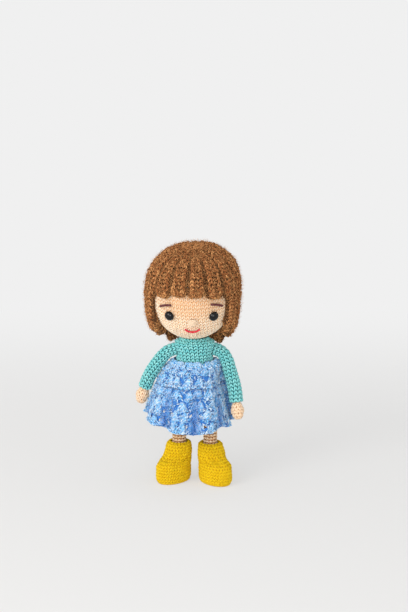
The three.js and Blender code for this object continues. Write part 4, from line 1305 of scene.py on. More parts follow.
def head():
    fabric = Fabric()
    surface = Surface(egg_surface(HEAD_RADIUS - YARN_SINK, HEAD_HALF_HEIGHT - YARN_SINK))
    fabric.line(surface, sink=HEAD_LINING_SINK, depth=HEAD_LINING_DEPTH)

    def hollows(u, v):
        # A painted shade on the brow, under the fringe
        azimuth = (u * 360 + 180) % 360 - 180
        down = v / surface.length * 180
        near = ((azimuth - BROW_SHADE_PLACE[0]) / BROW_SHADE_SIZE[0]) ** 2
        near = near + ((down - BROW_SHADE_PLACE[1]) / BROW_SHADE_SIZE[1]) ** 2
        return 0, BROW_SHADE * np.exp(-(near**2))

    surface.hollows = hollows
    start, end = (surface.length * share for share in HEAD_FLUFF_SHARES)
    fabric.rounds(surface, HEAD_END, surface.length - HEAD_END, FACE_STITCH, FACE_PATTERN, keep=shown_face)
    fabric.brush(surface, start, end, **HEAD_FLUFF)
    fabric.make_stuffed("crochet_head", SKIN, "head", ["head_cover", "head_stuffing"])


def on_head(azimuth, elevation, lift):
    a, e = math.radians(azimuth), math.radians(elevation)
    direction = np.array([math.sin(a) * math.cos(e), -math.cos(a) * math.cos(e), math.sin(e)])
    size = np.array([HEAD_RADIUS, HEAD_RADIUS, HEAD_HALF_HEIGHT])
    point = direction / np.linalg.norm(direction / size)
    normal = unit(point / size**2)
    return point + normal * lift, normal


def on_face(points, azimuth, elevation, lift):
    # Points with X to the doll's left, Y up the face and Z out of it
    point, normal = on_head(azimuth, elevation, lift)
    side = unit(np.cross([0, 0, 1], normal))
    up = np.cross(normal, side)
    return head_to_doll(point + points[..., :1] * side + points[..., 1:2] * up + points[..., 2:] * normal)


def lathe(outline, columns):
    outline = np.asarray(outline, float)
    angle = ring_angles(columns)
    return np.stack([
        outline[:, :1] * np.cos(angle), outline[:, :1] * np.sin(angle),
        np.broadcast_to(outline[:, 1:], (len(outline), columns)),
    ], axis=-1)


def eye(name):
    # A safety eye: a domed button with a narrow flange, on a stem through the face
    outline = [
        [EYE_STEM_RADIUS, -EYE_STEM_LENGTH], [EYE_STEM_RADIUS, -EYE_BACK],
        [EYE_RADIUS * EYE_BACK_SHARE, -EYE_BACK], [EYE_RADIUS, EYE_EDGE],
    ]
    for share in np.linspace(0, 1, EYE_STEPS):
        angle = share * math.pi / 2
        outline.append([EYE_RADIUS * math.cos(angle) + EYE_TIP_RADIUS, EYE_HEIGHT * math.sin(angle)])
    shape = lathe(outline, EYE_COLUMNS)
    fabric = Fabric()
    fabric.line(Surface(on_face(shape, EYE_AZIMUTHS[name], EYE_ELEVATION, EYE_LIFT)), sink=0, depth=1.0)
    fabric.make(f"glass_{name}_eye", EYE, "head", [f"{name}_eye"])


def face_thread(name, node, azimuth, elevation, width, bow, tilt, thickness, material, slot):
    # A twisted thread sewn across the face, with its ends dipping in
    half_angle = math.degrees(width / 2 / HEAD_RADIUS) / math.cos(math.radians(elevation))
    path = []
    for s in np.linspace(-1, 1, THREAD_POINTS):
        rise = math.degrees((bow * (1 - s * s) + tilt * s) / HEAD_RADIUS)
        dip = THREAD_END_DIP * abs(s) ** 6
        path.append(on_head(azimuth + s * half_angle, elevation + rise, THREAD_LIFT - dip)[0])
    path = head_to_doll(np.array(path))
    fabric = Fabric()
    fabric.cord(path, thickness / 2, THREAD_PLIES, thickness * THREAD_PITCH_SHARE, THREAD_UP, THREAD_TONES)
    fabric.make(name, material, "head", [node])


def nose():
    # A little wrapped bump: turns of pale yarn laid across it, one below another
    fabric = Fabric()
    polar = np.linspace(NOSE_POLE, math.pi / 2, NOSE_ROWS)
    outline = np.stack([np.sin(polar), np.cos(polar)], axis=1)
    size = np.array([NOSE_HALF_WIDTH, NOSE_HALF_HEIGHT, NOSE_DEPTH]) - np.array(NOSE_LINING_INSETS)
    middle = on_face(np.zeros((1, 1, 3)), 0, NOSE_ELEVATION, -1)
    shape = on_face(lathe(outline, NOSE_COLUMNS) * size, 0, NOSE_ELEVATION, NOSE_LIFT)
    fabric.line(Surface(shape, middle=middle), sink=0, depth=NOSE_LINING_DEPTH)
    for i in range(NOSE_WRAPS):
        height = (i + 0.5) / NOSE_WRAPS * 2 - 1
        half = math.sqrt(1 - height * height * NOSE_ROUND_SHARE)
        turn = np.linspace(*NOSE_WRAP_SHARES, NOSE_ROWS) * math.pi
        bow = np.stack([
            -np.cos(turn) * NOSE_HALF_WIDTH * half,
            np.full(NOSE_ROWS, height * NOSE_HALF_HEIGHT),
            np.sin(turn) * NOSE_DEPTH * half * NOSE_WRAP_DEPTH_SHARE,
        ], axis=1)
        path = on_face(bow, 0, NOSE_ELEVATION, NOSE_LIFT)
        fabric.strand(path, NOSE_YARN, NOSE_YARN_SIDES, rng.uniform(*NOSE_TONES))
    fabric.make("wrapped_nose", PALE, "head", ["nose"])


def face():
    for name in SIDES:
        eye(name)
    nose()
    face_thread("stitched_mouth", "mouth", 0, MOUTH_ELEVATION, MOUTH_WIDTH, -MOUTH_SAG, 0, MOUTH_THREAD,
                RED, "mouth_thread")
    for name, side in SIDES.items():
        face_thread(f"stitched_{name}_brow", f"{name}_eyebrow", *BROW_PLACES[name], BROW_WIDTH, BROW_BOW,
                    -side * BROW_RISE / 2, BROW_THREAD, PLUM, "brow_thread")


# Hair
def hair_outline(down, azimuth):
    # Radius and height of the hair's outer and inner sides at a distance down from the crown
    down = np.asarray(down, float)
    power = 2 / HAIR_SQUARENESS
    angle = (1 - np.minimum(down, DOME_LENGTH) / DOME_LENGTH) * (math.pi / 2)
    c, s = np.cos(angle), np.sin(angle)
    left = np.maximum(0, np.sin(np.radians(azimuth)))
    full = 1 + HAIR_FULL_SHARE * left * np.sin(angle * 2)
    dome_outer = np.stack([HAIR_RADIUS * full * c**power, HAIR_TOP * full * s**power], axis=-1)
    dome_inner = np.stack([(HEAD_RADIUS + HAIR_GAP) * c, (HEAD_HALF_HEIGHT + HAIR_GAP) * s], axis=-1)
    below = np.maximum(down - DOME_LENGTH, 0)
    radius = HAIR_RADIUS - HAIR_TUCK * (below / (NAPE_LENGTH - DOME_LENGTH)) ** TUCK_POWER
    fall_outer = np.stack(np.broadcast_arrays(radius + 0 * left, -below + 0 * left), axis=-1)
    fall_inner = fall_outer - np.array([HAIR_THICKNESS, 0])
    over = (down + 0 * left < DOME_LENGTH)[..., None]
    dome_inner = np.broadcast_to(dome_inner, dome_outer.shape)
    return np.where(over, dome_outer, fall_outer), np.where(over, dome_inner, fall_inner)


def hair_point(azimuth, down, sink):
    # A point of the hair, sunk from its outer side towards the head
    outer, inner = hair_outline(down, azimuth)
    place = outer + unit(inner - outer) * sink[..., None]
    turn = np.radians(azimuth)
    return head_to_doll(np.stack([
        np.sin(turn) * place[..., 0], -np.cos(turn) * place[..., 0], place[..., 1]], axis=-1))


def lock_depth(down, radius, thickness):
    # A lock reaches in to the cheek and the jaw, and is thin again at the shoulders
    below = np.maximum(down - DOME_LENGTH, 0)
    jaw = np.sqrt(np.maximum(0, 1 - (below / HEAD_HALF_HEIGHT) ** 2)) * HEAD_RADIUS
    fuller = JAW_FILL * eased(below, *JAW_FILL_STARTS) * (1 - eased(below, *JAW_FILL_ENDS))
    return np.where(below > 0, np.minimum(thickness + fuller, radius - jaw - HAIR_GAP), thickness)


def lock_grid(azimuth, start, drop, shares, sink, inner=False, face_side=0):
    # Rows down a lock at shares across it, from -1 to 1, with its two ribs and its round tip
    rows = max(LOCK_LEAST_ROWS, round((drop - start) / LOCK_ROW))
    down = np.linspace(start, drop, rows)
    tip = np.clip((down - (drop - TIP_LENGTH)) / TIP_LENGTH, 0, TIP_END_SHARE)
    shape = np.sqrt(1 - tip**2)
    down, shape = down[:, None], shape[:, None]
    shares = np.asarray(shares)[None]
    outer, inside = hair_outline(down, azimuth)
    thickness = lock_depth(down, outer[..., 0], np.linalg.norm(outer - inside, axis=-1))
    width = np.minimum(1, outer[..., 0] / HAIR_RADIUS)
    groove = width * np.interp(np.abs(shares), RIB_PLACES, RIB_SINKS)
    deep = thickness if inner else sink + groove
    deep = deep * shape + thickness / 2 * (1 - shape)
    width_share = TIP_WIDTH_SHARE + (1 - TIP_WIDTH_SHARE) * shape
    turn = azimuth + shares * (LOCK_STEP / 2) * LOCK_WIDTH_SHARE * width_share
    # The locks beside the face are cut back from it below the fringe
    trim = FACE_TRIM * eased(down, *FACE_TRIM_LENGTHS) * (1 + face_side * shares) / 2
    turn = turn - face_side * trim
    turn = turn + LOCK_WAVER * np.sin(down / LOCK_WAVER_LENGTH + azimuth)
    return hair_point(turn, np.broadcast_to(down, turn.shape), np.broadcast_to(deep, turn.shape))


def dress_hair(fabric, surface, start, fleck_patterns, fluff):
    # Rows of loose stitches with stray curls and fibres, from one length down a lock
    length = surface.length - start
    rows = round(length / HAIR_STITCH[1])
    across, down, width = [], [], []
    for i in range(rows):
        here = start + (i + 0.5) * length / rows
        girth = surface.girth_at(here)
        number = max(2, 2 * round(girth / HAIR_STITCH[0] / 2))
        across.append((np.arange(number) + 0.5) / number)
        down.append(np.full(number, here) + rng.normal(0, HAIR_DROP_SPREAD, number))
        width.append(np.full(number, girth / number))
    across, down, width = (np.concatenate(values) for values in (across, down, width))
    fabric.lay_mixed(surface, across, down, width, HAIR_PATTERNS, twist=HAIR_TWIST, jitter=HAIR_JITTER)
    fabric.flecks(fleck_patterns, surface, start, surface.length, HAIR_FLECK_SHARE, HAIR_FLECK_SPREAD)
    fabric.brush(surface, start, amount=length, **fluff)


def lock(name, azimuth, drop, face_side=0):
    # One lock of hair: its lining, and stitches outside it, under it and on the side by the face
    fabric = Fabric()
    front = lock_grid(azimuth, CROWN_EDGE, drop, LOCK_ACROSS, LOCK_LINING_SINK, face_side=face_side)
    back = lock_grid(azimuth, CROWN_EDGE, drop, LOCK_BACK, 0, inner=True, face_side=face_side)
    tube = Surface(np.concatenate([front, back], axis=1))
    fabric.line(tube, sink=0, depth=LOCK_LINING_DEPTH)
    # Paler curls at the tip: painted light in the shade under it
    fabric.flecks(UNDER_FLECKS, tube, tube.length - TIP_LENGTH, tube.length, TIP_FLECK_SHARE)
    outside = lock_grid(azimuth, CROWN_EDGE, drop, LOCK_ACROSS, LOCK_YARN_SINK, face_side=face_side)
    surface = Surface(outside, False, np.array(HEAD_PLACE, float))

    def hollows(u, v):
        # Painted shade towards the partings, and where the two ribs meet
        edge = eased(np.abs(u * 2 - 1), *PARTING_SHADE_PLACES) * PARTING_SHADE
        middle = np.exp(-(((u - 0.5) / RIB_SHADE_WIDTH) ** 2)) * RIB_SHADE
        return 0, 1 - (1 - edge) * (1 - middle)

    surface.hollows = hollows
    dress_hair(fabric, surface, 0, HAIR_FLECKS, LOCK_FLUFF)
    centre = front[:, LOCK_MIDDLE : LOCK_MIDDLE + 1]
    # Under the lock, paler curls and fibres: painted light that lifts its shade
    if drop > DOME_LENGTH:
        under = Surface(back, False, np.repeat(centre, len(LOCK_BACK), axis=1))
        dress_hair(fabric, under, DOME_LENGTH - CROWN_EDGE, UNDER_FLECKS, UNDER_FLUFF)
    if face_side:
        # The side of the lock that is turned to the face, with paler curls and fibres: painted light in its
        # shade
        share = WALL_SHARES[None, :, None]
        edge, far = (-1, 0) if face_side > 0 else (0, -1)
        wall = front[:, edge][:, None] * (1 - share) + back[:, far][:, None] * share
        dress_hair(fabric, Surface(wall, False, centre), 0, UNDER_FLECKS, WALL_FLUFF)
    fabric.make(f"crochet_{name}", HAIR, "head", [name])


def hair_crown():
    fabric = Fabric()
    shape = (CROWN_ROWS, CROWN_COLUMNS)
    down = np.linspace(CROWN_START, CROWN_EDGE, CROWN_ROWS)[:, None]
    turn = np.degrees(ring_angles(CROWN_COLUMNS))[None]
    points = hair_point(turn, np.broadcast_to(down, shape), np.full(shape, CROWN_SINK))
    surface = Surface(points, middle=np.array(HEAD_PLACE, float))
    fabric.line(surface, sink=CROWN_LINING_SINK)
    start, middle = CROWN_ROUNDS
    for first, last, count in ((middle, CROWN_EDGE + CROWN_LAP, LOCK_COUNT * 2),
                               (start, middle, CROWN_MIDDLE_COUNT)):
        fabric.rounds(surface, first, last, CROWN_STITCH, CROWN_PATTERN, count=count, lean=0)
    fabric.brush(surface, start, CROWN_EDGE, **CROWN_FLUFF)
    fabric.make("crochet_hair_crown", HAIR, "head", ["hair_crown"])


def lock_azimuth(place):
    return FIRST_LOCK_AZIMUTH + place * LOCK_STEP


def hair():
    hair_crown()
    for i, length in enumerate(FRINGE_LENGTHS):
        lock(f"fringe_lock_{i + 1}", lock_azimuth(FRINGE_FIRST + i), length)
    for name, side in SIDES.items():
        first, length = SIDE_LOCKS[name]
        for i in range(SIDE_LOCK_COUNT):
            drop = length + (NAPE_LENGTH - length) * (i / SIDE_LOCK_COUNT) ** SIDE_POWER
            lock(f"{name}_side_lock_{i + 1}", lock_azimuth(first + side * i), drop, 0 if i else -side)
    for i in range(NAPE_COUNT):
        lock(f"nape_lock_{i + 1}", lock_azimuth(NAPE_FIRST + i), NAPE_LENGTH)


# Body
def torso():
    # The jumper's body, drawn in at the neck and hollowed at the shoulders
    height = TORSO_TOP_Z - TORSO_BOTTOM_Z
    outline = [[CHEST_RADIUS * r - YARN_SINK, TORSO_BOTTOM_Z + height * z] for r, z in TORSO_OUTLINE_SHARES]
    outline = smooth_path(outline, TORSO_ROWS)
    outline = outline[outline[:, 1] < COLLAR_Z]
    outline = np.concatenate([TORSO_FLOOR, outline])[::-1]
    rows = turned(lathe(outline, TORSO_COLUMNS), -90, (0, 1))
    rows[..., 1] *= TORSO_DEPTH_SHARE
    rows[..., 0] *= 1 + YOKE_SHARE * np.exp(-(((rows[..., 2] - YOKE_Z) / YOKE_HEIGHT) ** 2))
    shoulders = [np.array([side * SHOULDER_X, 0, SHOULDER_Z]) for side in SIDES.values()]
    for side, shoulder in zip(SIDES.values(), shoulders):
        # A hollow for the top of the sleeve
        off = rows - shoulder
        room = SHOULDER_HOLLOW**2 - off[..., 1] ** 2 - off[..., 2] ** 2
        reach = np.sqrt(np.maximum(room, 0))
        inside = (room > 0) & (side * off[..., 0] > -reach)
        rows[..., 0] = np.where(inside, side * (SHOULDER_X - reach), rows[..., 0])
    fabric = Fabric()
    surface = Surface(rows)
    fabric.line(surface)

    def outside_sleeves(points, _):
        away = [np.linalg.norm(points - shoulder, axis=1) for shoulder in shoulders]
        return np.minimum(*away) > SHOULDER_CLEAR

    fabric.rounds(surface, TORSO_START, surface.length - TORSO_END, JUMPER_STITCH, JUMPER_PATTERN,
                  count=TORSO_STITCH_COUNT, keep=outside_sleeves)
    fabric.brush(surface, **TORSO_FLUFF)
    fabric.make_stuffed("crochet_torso", TEAL, "torso", ["torso_cover", "torso_stuffing"])


# Arms
def tube_rows(path, radii):
    # Rings square to a path, from a fixed direction across it
    along = unit(np.gradient(path, axis=0))
    side = unit(np.cross(np.array([0.0, 1.0, 0.0]), along))
    front = np.cross(along, side)
    angle = ring_angles(TUBE_COLUMNS)
    ring = np.cos(angle)[:, None] * side[:, None] + np.sin(angle)[:, None] * front[:, None]
    return path[:, None] + ring * radii[:, None, None]


def capped(path, radii, ends=(0, -1)):
    # A path and its radii with a half ball's rings added at its ends
    along = unit(np.gradient(path, axis=0))
    shares = np.sin(np.linspace(0, 1, CAP_RINGS + 1)[1:] * math.pi / 2 * CAP_REACH_SHARE)
    for end in ends:
        sign = 1 if end else -1
        extra = path[end] + sign * along[end] * radii[end] * shares[:, None]
        sizes = radii[end] * np.sqrt(1 - shares**2)
        if end:
            path, radii = np.concatenate([path, extra]), np.concatenate([radii, sizes])
        else:
            path, radii = np.concatenate([extra[::-1], path]), np.concatenate([sizes[::-1], radii])
    return path, radii


def sleeve(name, shoulder):
    path = smooth_path(np.array(SLEEVE_SHARES[name]) * ARM_REACH, SLEEVE_ROWS) + shoulder
    share = np.linspace(0, 1, SLEEVE_ROWS)
    radii = SHOULDER_RADIUS + (CUFF_RADIUS - SHOULDER_RADIUS) * eased(share, *SLEEVE_TAPER) - YARN_SINK
    path, radii = capped(path, radii, ends=(0,))
    # The cuff turns in on itself round the wrist
    rows = tube_rows(path, radii)
    turned_in = tube_rows(path[[-CUFF_TURN_ROWS, -1]], radii[-1] - np.array(CUFF_TURN_INSETS))[::-1]
    fabric = Fabric()
    fabric.line(Surface(np.concatenate([rows, turned_in])))
    surface = Surface(rows)
    fabric.rounds(surface, SLEEVE_START, surface.length, JUMPER_STITCH, JUMPER_PATTERN,
                  count=SLEEVE_STITCH_COUNT)
    fabric.brush(surface, SLEEVE_FLUFF_START, **SLEEVE_FLUFF)
    fabric.make_stuffed(f"crochet_{name}_sleeve", TEAL, f"{name}_arm", [f"{name}_sleeve"])


def hand(name, shoulder):
    path = smooth_path(np.array(HAND_SHARES[name]) * ARM_REACH, HAND_ROWS) + shoulder
    share = np.linspace(0, 1, HAND_ROWS)
    radii = HAND_HALF_WIDTH * (HAND_END_SHARE + (1 - HAND_END_SHARE) * np.sin(share * math.pi)) - YARN_SINK
    surface = Surface(tube_rows(*capped(path, radii)))
    # The whole hand gets painted shade
    surface.hollows = lambda u, v: (0, HAND_SHADE)
    fabric = Fabric()
    fabric.line(surface)
    fabric.rounds(surface, HAND_ENDS[0], surface.length - HAND_ENDS[1], HAND_STITCH, HAND_PATTERN)
    fabric.brush(surface, HAND_FLUFF_END, surface.length - HAND_FLUFF_END, **HAND_FLUFF)
    fabric.make_stuffed(f"crochet_{name}_hand", SKIN, f"{name}_arm", [f"{name}_hand"])


# Legs and boots
def leg(name, side):
    # A stuffed tube from the hip down into the boot
    foot = np.array([side * LEG_X, LEG_Y[name], 0])
    low = LEG_BOTTOM_Z + LEG_RADIUS
    heights = np.linspace(HIP_Z, low, LEG_ROWS)
    share = (HIP_Z - heights) / (HIP_Z - low)
    path = foot + heights[:, None] * np.array([0, 0, 1])
    radii = THIGH_RADIUS + (LEG_RADIUS - THIGH_RADIUS) * np.minimum(1, share * 2)
    radii = radii + (HIP_RADIUS - THIGH_RADIUS) * (1 - eased(share, 0, HIP_SHARE)) - YARN_SINK
    surface = Surface(tube_rows(*capped(path, radii)))
    fabric = Fabric()
    fabric.line(surface)
    fabric.rounds(surface, LEG_END, surface.length - LEG_END, LEG_STITCH, LEG_PATTERN,
                  count=LEG_STITCH_COUNT)
    fabric.brush(surface, LEG_FLUFF_END, surface.length - LEG_FLUFF_END, **LEG_FLUFF)
    fabric.make_stuffed(f"crochet_{name}_leg", LEG, f"{name}_leg", [f"{name}_leg"])


def boot_rows(heights, inset):
    # Sections of the boot at given heights, in the boot's own frame
    size = np.array([BOOT_HEIGHT, BOOT_HALF_LENGTH, BOOT_HALF_WIDTH, BOOT_FORWARD])
    top = [BOOT_HEIGHT, BOOT_RIM_RADIUS, BOOT_RIM_RADIUS, 0]
    fine = smooth_path(np.concatenate([size * BOOT_SECTION_SHARES, [top]]), BOOT_FINE_ROWS)
    angle = ring_angles(BOOT_COLUMNS)
    rows = []
    inset = np.asarray(inset, float)
    sinks = inset if inset.ndim == 2 else np.broadcast_to(inset, len(heights))
    for z, sink in zip(heights, sinks):
        half_length, half_width, forward = (np.interp(z, fine[:, 0], fine[:, k]) for k in (1, 2, 3))
        rows.append(np.stack([
            np.cos(angle) * (half_width - sink), np.sin(angle) * (half_length - sink) - forward,
            np.full(BOOT_COLUMNS, z),
        ], axis=1))
    return np.array(rows)


def boot(name, side):
    # An ankle boot: its upper with a rolled rim, its sole and its insole
    place = np.array([side * LEG_X, LEG_Y[name], 0])
    body = f"{name}_boot"

    def stood(rows):
        return turned(rows, side * TOE_OUT[name], (0, 1)) + place

    outer_z = np.linspace(SOLE_THICKNESS - BOOT_OVER_SOLE, BOOT_HEIGHT - RIM_START, BOOT_ROWS)
    creases = np.cos(ring_angles(BOOT_COLUMNS) * ANKLE_CREASES + outer_z[:, None] * side)
    creases = ANKLE_CREASE_DEPTH * creases * np.exp(-(((outer_z[:, None] - ANKLE_Z) / ANKLE_SPREAD) ** 2))
    outer = boot_rows(outer_z, YARN_SINK + creases)
    rim = boot_rows(BOOT_HEIGHT - np.array(RIM_DROPS), np.array(RIM_INSETS))
    inner_z = np.linspace(BOOT_HEIGHT - RIM_END, INSOLE_TOP_Z + INSOLE_GAP, BOOT_INNER_ROWS)
    inner = boot_rows(inner_z, BOOT_WALL + BOOT_LINING_INSET)
    middle = np.concatenate([
        np.repeat(outer.mean(axis=1, keepdims=True), BOOT_COLUMNS, axis=1), rim,
        inner * 2 - inner.mean(axis=1, keepdims=True),
    ])
    upper = Fabric()
    upper.line(Surface(stood(np.concatenate([outer, rim, inner])), middle=stood(middle)), sink=0)
    surface = Surface(stood(np.concatenate([outer, rim[:RIM_COVERED_ROWS]]))[::-1])
    upper.rounds(surface, BOOT_START, surface.length - BOOT_END, BOOT_STITCH, BOOT_PATTERN)
    upper.brush(surface, BOOT_FLUFF_START, **BOOT_FLUFF)
    stands_for = [f"{name}_boot_upper", f"{name}_boot_stuffing"]
    upper.make_stuffed(f"crochet_{name}_boot", YELLOW, body, stands_for)

    sole = Fabric()
    sole.line(Surface(stood(boot_rows(*np.transpose(SOLE_OUTLINE)))), sink=0, depth=SOLE_LINING_DEPTH)
    edge = Surface(stood(boot_rows(*np.transpose(SOLE_EDGE))))
    sole.rounds(edge, 0, edge.length, BOOT_STITCH, BOOT_PATTERN)
    sole.make(f"crochet_{name}_sole", YELLOW, body, [f"{name}_boot_sole"])

    insole = Fabric()
    insole.line(Surface(stood(boot_rows(*np.transpose(INSOLE_OUTLINE)))), sink=0, depth=1.0)
    insole.make(f"felt_{name}_insole", FELT, body, [f"{name}_insole"])


# Skirt
def apart(azimuth, other):
    # The angle between two directions, the shorter way round
    return (azimuth - other + 180) % 360 - 180


def arm_dent(azimuth, share):
    # How far the arms press the skirt in, at a share of the way down from the waist
    total = sum(depth * np.exp(-((apart(azimuth, at) / DENT_WIDTH) ** 2)) for depth, at in ARM_DENTS)
    return total * (np.minimum(1, share * DENT_START_SHARE) - DENT_FADE_SHARE * share**3)


def tier_surface(tier, rows, columns, inset):
    # A tier's form from its top to its hem, with its folds and the arms' dents
    outline = smooth_path(tier["outline_shares"], TIER_OUTLINE_POINTS)
    share = np.linspace(0, 1, rows)[:, None]
    radius_share = np.interp(share, outline[:, 1], outline[:, 0])
    azimuth = np.degrees(ring_angles(columns))[None]
    lift = 0
    for height, at, width in tier["lifts"]:
        lift = lift + height * np.exp(-((apart(azimuth, at) / width) ** 2)) * share**2
    groove = (1 + np.cos(np.radians(FOLD_COUNT * (azimuth - FOLD_AZIMUTH)))) / 2
    fold, top_share = tier["fold_depth"], tier["top_fold_share"]
    z = tier["top_z"] + (tier["hem_z"] - tier["top_z"]) * share + lift
    z = z + fold * HEM_SCALLOP_SHARE * groove * share**2
    down = (WAIST_Z - z) / (WAIST_Z - LOWER_TIER["hem_z"])
    depth = fold * (top_share + (1 - top_share) * share)
    radius = HEM_RADIUS * radius_share - depth * groove - arm_dent(azimuth, down) - inset
    turn = np.radians(azimuth)
    return Surface(np.stack(np.broadcast_arrays(
        np.sin(turn) * radius + HEM_SHIFT_X * down, -np.cos(turn) * radius, z), axis=-1))


def cloth_kept(counts, open_rows):
    # Which faces of the cloth stay, with the openwork's holes left out of its lowest rows
    across = (np.arange(CLOTH_COLUMNS) + 0.5) / CLOTH_COLUMNS
    kept = np.ones((len(counts) * CLOTH_ROWS_PER_SHELL, CLOTH_COLUMNS), bool)
    for i in range(len(counts) - open_rows, len(counts)):
        phase = (across * counts[i] - 0.5 * (i % 2)) % 1
        off = (0.5 - np.minimum(phase, 1 - phase)) / OPENING_HALF_SHARE
        for j in range(CLOTH_ROWS_PER_SHELL):
            low = (j + 0.5) / CLOTH_ROWS_PER_SHELL
            hole = off**2 + ((low - OPENING_PLACE_SHARE) / OPENING_HALF_SHARE) ** 2 < 1
            kept[i * CLOTH_ROWS_PER_SHELL + j] = ~hole
    return kept


def skirt_tier(name, tier):
    # A tier of cloth with rows of fans worked over it
    surface = tier_surface(tier, TIER_ROWS, TIER_COLUMNS, TIER_YARN_INSET)
    shell_rows = max(1, round(surface.length / SHELL_HEIGHT))
    step = surface.length / shell_rows
    counts = [
        round(surface.girth_at((i + SHELL_GIRTH_SHARE) * step) / SHELL_WIDTH) for i in range(shell_rows)
    ]

    def hollows(u, v):
        # How far the yarn sinks in the openwork's holes, and its painted shade there, in the folds' grooves
        # and in the shadow of the tier above
        row = np.clip(np.floor(v / step), 0, shell_rows - 1).astype(int)
        phase = (u * np.array(counts)[row] - 0.5 * (row % 2) - 0.5) % 1
        off = np.minimum(phase, 1 - phase) / HOLE_HALF_WIDTH_SHARE
        low = (v / step - row - HOLE_PLACE_SHARE) / HOLE_HALF_HEIGHT_SHARE
        hole = np.exp(-(off**2 + low**2) ** 2)
        fold = (1 + np.cos(FOLD_COUNT * (u * TURN - math.radians(FOLD_AZIMUTH)))) / 2
        folded = np.clip(v / surface.length * FOLD_SHADE_GROWTH, 0, 1) * fold**2 * tier["fold_shade"]
        covered = np.maximum(v - tier["covered_to"], 0) / RUFFLE_SHADE_LENGTH
        covered = np.exp(-(covered**2)) * RUFFLE_SHADE
        return hole * HOLE_DEPTH, 1 - (1 - hole * tier["hole_shade"]) * (1 - folded) * (1 - covered)

    surface.hollows = hollows
    # The cloth under the fans is painted dark: shade in the gaps between them
    cloth = Fabric()
    cloth_surface = tier_surface(tier, shell_rows * CLOTH_ROWS_PER_SHELL + 1, CLOTH_COLUMNS, CLOTH_INSET)
    cloth.line(cloth_surface, sink=0, depth=CLOTH_DEPTH, tone=CLOTH_TONE,
               keep=cloth_kept(counts, tier["open_rows"]), closed=False)
    sheet = cloth.make(f"openwork_{name}", BLUE, "torso", [f"skirt_{name}"])
    thicken = sheet.modifiers.new("cloth", "SOLIDIFY")
    thicken.thickness = CLOTH_THICKNESS * MM
    thicken.offset = 0
    yarn = Fabric()
    for i, number in enumerate(counts):
        places = (np.arange(number) + 0.5 * (i % 2)) / number
        places = places + rng.normal(0, SHELL_SHIFT_SHARE, number) / number
        down = i * step - SHELL_RAISE + rng.normal(0, SHELL_DROP_SPREAD, number)
        width = surface.girth_at(down + step * SHELL_GIRTH_SHARE) / number
        yarn.lay_mixed(surface, places, down, width, SHELLS, twist=SHELL_TWIST, jitter=SHELL_JITTER)
    top, low = TIER_FLECK_ENDS
    yarn.flecks(SKIRT_FLECKS, surface, top, surface.length - low, SKIRT_FLECK_SHARE)
    yarn.flecks(SKIRT_FLECKS, surface, surface.length - HEM_FLECK_LENGTH, surface.length, HEM_FLECK_SHARE)
    yarn.brush(surface, amount=surface.girths.mean() * surface.length, **TIER_FLUFF)
    strands = yarn.make(f"shells_{name}", BLUE, "torso")


def waistband():
    # The band, under a frill of the same fluffy yarn
    fabric = Fabric()
    waist = CHEST_RADIUS * BAND_CHEST_SHARE + BAND_GAP
    outer = waist + BAND_THICKNESS - BAND_INSET
    low, high = WAIST_Z - BAND_HEIGHT / 2, WAIST_Z + BAND_HEIGHT / 2
    outline = [[waist, high], [outer, high], [outer, low], [waist, low]]
    depth_share = (waist * TORSO_DEPTH_SHARE + BAND_GAP) / waist
    rows = lathe(outline, BAND_COLUMNS) * np.array([1, depth_share, 1])
    ring = Surface(np.concatenate([rows, rows[:1]]), middle=np.array([0, 0, WAIST_Z]))
    fabric.line(ring, sink=0, depth=BAND_DEPTH, closed=False)
    tier_top = HEM_RADIUS * UPPER_TIER["outline_shares"][0][0]
    outline = np.array([[waist, high], [outer, high], [tier_top, low], [tier_top, low]]) + FRILL_SHIFTS
    rows = lathe(smooth_path(outline, FRILL_ROWS), FRILL_COLUMNS)
    share = np.linspace(0, 1, FRILL_ROWS)[:, None]
    rows[..., 1] *= depth_share + (1 - depth_share) * share
    frill = Surface(rows)
    number = round(frill.girths.mean() / SHELL_WIDTH)
    down, width = np.full(number, -FRILL_RAISE), np.full(number, SHELL_WIDTH)
    fabric.lay_mixed(frill, np.arange(number) / number, down, width, SHELLS, twist=FRILL_TWIST,
                     jitter=FRILL_JITTER)
    fabric.flecks(SKIRT_FLECKS, frill, 0, frill.length, HEM_FLECK_SHARE)
    fabric.brush(frill, **FRILL_FLUFF)
    fabric.make("crochet_waistband", BLUE, "torso", ["skirt_waistband"])


# Parts that keep their solids, with a finish of their own
def hidden_fittings():
    wires = [f"{name}_{limb}_wire" for name in SIDES for limb in ("shoulder", "arm", "leg")]
    washers = [f"{name}_eye_washer" for name in SIDES]
    for material, nodes in ((WASHER, ["neck_post", *washers]), (STEEL, wires)):
        for node in nodes:
            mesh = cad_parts[node].data
            mesh.materials.clear()
            mesh.materials.append(material)


# Floor, light and camera
def seen_rays(tree):
    # One for the rays that show a background, to the camera, in gloss and through glass
    rays = put(tree, "ShaderNodeLightPath")
    seen = math_of(tree, "ADD", rays.outputs["Is Camera Ray"], rays.outputs["Is Glossy Ray"])
    return math_of(tree, "ADD", seen, rays.outputs["Is Transmission Ray"], clamp=True)


